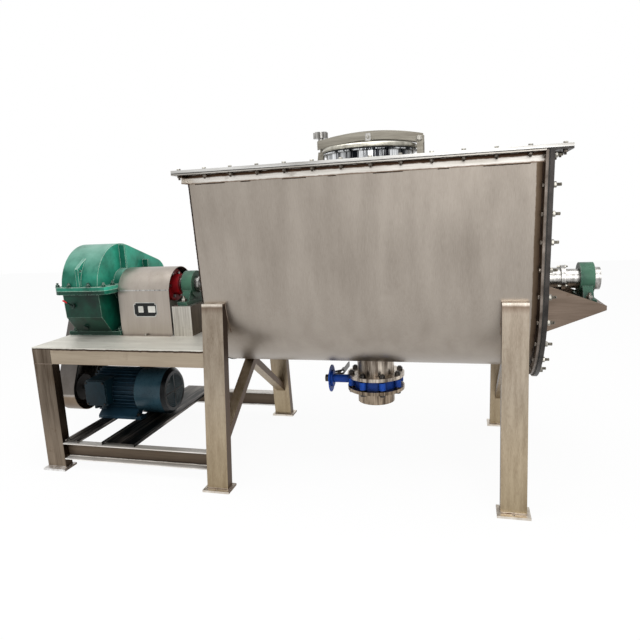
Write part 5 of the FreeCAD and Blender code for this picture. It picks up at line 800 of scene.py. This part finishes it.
for x in (-LEG_X, LEG_X):
    for side in (-1, 1):
        for edge in (-LEG_HALF, LEG_HALF):
            leg_paths.append([(x + edge, side * SHELL * math.cos(a), SHAFT + SHELL * math.sin(a))
                              for a in arc])
        top_y = side * SHELL * math.cos(first)
        leg_paths.append([(x - LEG_HALF, top_y, LEG_TOP), (x + LEG_HALF, top_y, LEG_TOP)])
        x0, x1, y0, y1 = x - LEG_HALF, x + LEG_HALF, side * LEG_FRONT, side * LEG_BACK
        corners = [(x0, y0), (x0, y1), (x1, y1), (x1, y0), (x0, y0)]
        leg_paths.append([(a, b, FOOT_PLATE) for a, b in corners])
TABLE_LEG_X, TABLE_LEG_Y, APRON_LOW = (-1.953, -1.827), ((-0.517, -0.457), (0.560, 0.620)), 0.6695
for y0, y1 in TABLE_LEG_Y:
    x0, x1 = TABLE_LEG_X
    for z in (FOOT_PLATE, APRON_LOW):
        leg_paths.append([(x0, y0, z), (x1, y0, z), (x1, y1, z), (x0, y1, z), (x0, y0, z)])
TABLE_END, BEAM_EDGES = -0.833, (0.066, 0.170)
leg_paths.append([(TABLE_END, -0.5165, 0.671), (TABLE_END, -0.5165, 0.769)])
leg_paths += [[(TABLE_END, y, z), (TABLE_END, y + side * 0.04, z)] for y, side in ((-0.515, 1), (0.618, -1))
              for z in BEAM_EDGES]
beads("frame_welds", leg_paths, 0.0026)

# %% [markdown]
# ## The wire grille
# The fan cover breathes in through a guard of spiral wire welded to a cross. A spiral is a curve
# that Geometry Nodes already has, so a tree sweeps a thin wire along it.

# %% Grille
grille_tree, given, out = new_tree("spiral_grille", [
    ("Turns", "Float"), ("Inner", "Float"), ("Outer", "Float"), ("Wire", "Float"), ("Steel", "Material")])
coil = add(grille_tree, "GeometryNodeCurveSpiral",
           {"Rotations": given["Turns"], "Start Radius": given["Inner"], "End Radius": given["Outer"]},
           Height=0.0, Resolution=36)
wire = add(grille_tree, "GeometryNodeCurvePrimitiveCircle", {"Radius": given["Wire"]}, Resolution=5)
swept = add(grille_tree, "GeometryNodeCurveToMesh", {"Curve": coil.outputs["Curve"],
                                                    "Profile Curve": wire.outputs["Curve"]}, Fill_Caps=True)
real = add(grille_tree, "GeometryNodeRealizeInstances", {"Geometry": swept.outputs["Mesh"]})
steel = add(grille_tree, "GeometryNodeSetMaterial", {"Geometry": real.outputs["Geometry"],
                                                    "Material": given["Steel"]})
grille_tree.links.new(steel.outputs["Geometry"], out.inputs["Geometry"])
wire_paint = enamel("grey_wire_enamel", "#828b8d", "#555d60", "#a8afb0", wear=0.4, grime=0.3)
grille = grow("fan_grille", bpy.data.meshes.new("grille"), grille_tree,
              {"Turns": 8.0, "Inner": 0.018, "Outer": 0.113, "Wire": 0.0014, "Steel": wire_paint})
GRILLE_DEPTH = 0.0036
to_cowl = Matrix.Translation((cowl_face - GRILLE_DEPTH, MOTOR_Y, MOTOR_Z))
grille.data.transform(to_cowl @ Matrix.Rotation(math.pi / 2, 4, "Y"))
print("grille", len(grille.data.polygons), "faces")

# %% [markdown]
# ## Seams, plate and small fittings
# The coupling guard has a rolled seam where its arch meets its sides, and a small plain plate.
# The terminal box has a lid, and the manhole's arm a pad with a bolt. Over the table's apron the
# skin of the leg goes on up to the plate.


# %% Boxes with soft edges
def block(name, low, high, material, edge=0.0006, ride_on="frame", corner=0.0):
    """A sheet or bar with broken edges; corner rounds the four edges that run to the back."""
    build = bmesh.new()
    bmesh.ops.create_cube(build, size=1)
    low, high = Vector(low), Vector(high)
    for vert in build.verts:
        vert.co = Vector((low[i] + (vert.co[i] + 0.5) * (high[i] - low[i]) for i in range(3)))
    if corner:
        deep = [e for e in build.edges if abs(e.verts[0].co.y - e.verts[1].co.y) > 1e-6]
        bmesh.ops.bevel(build, geom=deep, offset=corner, segments=5, affect="EDGES")
    else:
        bmesh.ops.bevel(build, geom=build.edges[:], offset=edge, segments=2, affect="EDGES")
    mesh = bpy.data.meshes.new(name)
    build.to_mesh(mesh)
    build.free()
    made = bpy.data.objects.new(name, mesh)
    bpy.context.scene.collection.objects.link(made)
    made.data.materials.append(material)
    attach(made, ride_on)
    return made


guard_low, guard_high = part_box("coupling_guard")
guard_face, seam_low, seam_high = -0.165, 1.051, 1.059
block("guard_seam", (guard_low.x + 0.002, guard_face - 0.0025, seam_low),
      (guard_high.x - 0.002, guard_face + 0.001, seam_high), bright_steel, 0.001)
block("terminal_box_lid", (box_low.x + 0.003, lid_face, BOX_LID_LOW),
      (box_high.x - 0.003, box_low.y, BOX_LID_HIGH), box_paint, corner=0.014)
plate_black = enamel("black_etched_plate", "#16181a", "#0d0e0f", "#70716f", wear=0.1, rough=0.3)
silver = plain_stuff("etched_aluminium", "#cfcfca", "#a3a39e", 0.35, 2.0, metal=1.0)
white_field = plain_stuff("etched_bare_field", "#d9d8d2", "#bdbcb6", 0.45, 3.0, metal=0.6)
PLATE_X, PLATE_Z = (-1.468, -1.306), (0.888, 0.980)


def plate(name, left, right, low, high, depth, material, corner):
    """A flat piece on the guard, placed by shares of the plate's width and height."""
    width, height = PLATE_X[1] - PLATE_X[0], PLATE_Z[1] - PLATE_Z[0]
    block(name, (PLATE_X[0] + left * width, guard_face - depth, PLATE_Z[0] + low * height),
          (PLATE_X[0] + right * width, guard_face, PLATE_Z[0] + high * height), material, 0.0002,
          corner=corner)


plate("plain_plate_rim", 0, 1, 0, 1, 0.0012, silver, 0.012)
plate("plain_plate", 0.03, 0.97, 0.05, 0.95, 0.0016, plate_black, 0.010)
plate("plain_plate_field_1", 0.20, 0.42, 0.30, 0.74, 0.0020, white_field, 0.002)
plate("plain_plate_field_2", 0.62, 0.93, 0.30, 0.74, 0.0020, white_field, 0.002)
arm_low, arm_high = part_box("manhole_arm")
pad_x, pad_z, pad_face = 0.025, arm_high.z - 0.032, arm_low.y - 0.008
block("arm_pad", (pad_x - 0.014, pad_face, pad_z - 0.020), (pad_x + 0.014, arm_low.y, pad_z + 0.020),
      bright_steel, 0.0015, "manhole_lid")
bolts("arm_pad_bolt", [(pad_x, pad_face, pad_z)], (0, -1, 0), m10, zinc_steel, "manhole_lid")
PIN_X, PIN_HEIGHT = 0.303, 0.128
lug_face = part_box("lid_lugs")[0].y
bolts("hinge_pin_head", [(PIN_X, lug_face, lid_high.z + PIN_HEIGHT)], (0, -1, 0), m16, zinc_steel)
guard_feet = [((guard_low.x + guard_high.x) / 2, side * 0.182, TABLE_TOP + 0.003) for side in (-1, 1)]
block("leg_face_over_table", (TABLE_LEG_X[0], -0.5178, 0.671), (TABLE_LEG_X[1], -0.5170, 0.7575),
      table_leg_steel, 0.0003)
bolts("guard_foot_bolts", guard_feet, (0, 0, 1), m10, zinc_steel)

# %% [markdown]
# ## Floor, backdrop and light
# A plain white floor, and soft daylight from above and from the camera's side. The
# background is white by its own colour, and it is shown as white to the camera and in the
# reflections only, so that it adds no light to the machine.


# %% Stage
def stage_sheet(name, corners):
    mesh = bpy.data.meshes.new(name)
    mesh.from_pydata(corners, [], [(0, 1, 2, 3)])
    made = bpy.data.objects.new(name, mesh)
    bpy.context.scene.collection.objects.link(made)
    return made


def shown(tree):
    """1 for what the camera sees, itself or in metal and glass."""
    ray = add(tree, "ShaderNodeLightPath").outputs
    pair = add(tree, "ShaderNodeMath", {0: ray["Is Camera Ray"], 1: ray["Is Glossy Ray"]},
               operation="MAXIMUM")
    return add(tree, "ShaderNodeMath", {0: pair.outputs["Value"], 1: ray["Is Transmission Ray"]},
               operation="MAXIMUM").outputs["Value"]


def paper():
    made, tree, shader, _ = start_material("white_studio_paper")
    white = add(tree, "ShaderNodeEmission", Strength=1.0)
    shader.inputs["Base Color"].default_value = linear("#fafafa")
    shader.inputs["Roughness"].default_value = 0.9
    share = spread(tree, shown(tree), 0.0, 0.94)
    mix = add(tree, "ShaderNodeMixShader",
              {0: share, 1: shader.outputs["BSDF"], 2: white.outputs["Emission"]})
    tree.links.new(mix.outputs["Shader"], tree.nodes["Material Output"].inputs["Surface"])
    return made


FLOOR_X, FLOOR_Y, FLOOR_Z = 14, 12, -0.001
floor = stage_sheet("floor", [(x * FLOOR_X, y * FLOOR_Y, FLOOR_Z)
                              for x, y in ((-1, -1), (1, -1), (1, 1), (-1, 1))])
floor.data.materials.append(paper())

world = bpy.data.worlds.new("studio")
bpy.context.scene.world = world
world.use_nodes = True
sky = world.node_tree
background = sky.nodes["Background"]
background.inputs["Color"].default_value = (1, 1, 1, 1)
level = spread(sky, shown(sky), 0.55, 1.0)
sky.links.new(level, background.inputs["Strength"])


def lamp(name, place, aim, size, power):
    data = bpy.data.lights.new(name, "AREA")
    data.shape = "RECTANGLE"
    data.size, data.size_y = size
    data.energy = power
    made = bpy.data.objects.new(name, data)
    bpy.context.scene.collection.objects.link(made)
    made.location = place
    made.rotation_euler = (Vector(aim) - Vector(place)).to_track_quat("-Z", "Y").to_euler()
    return made


lamp("daylight_above", (-0.3, -0.8, 5.0), (-0.3, 0, 0.8), (5, 3), 160)
lamp("daylight_front", (1.5, -5.0, 3.4), (-0.3, 0, 1.0), (4, 3), 120)
bpy.context.scene.view_settings.view_transform = "Standard"
print("stage set")
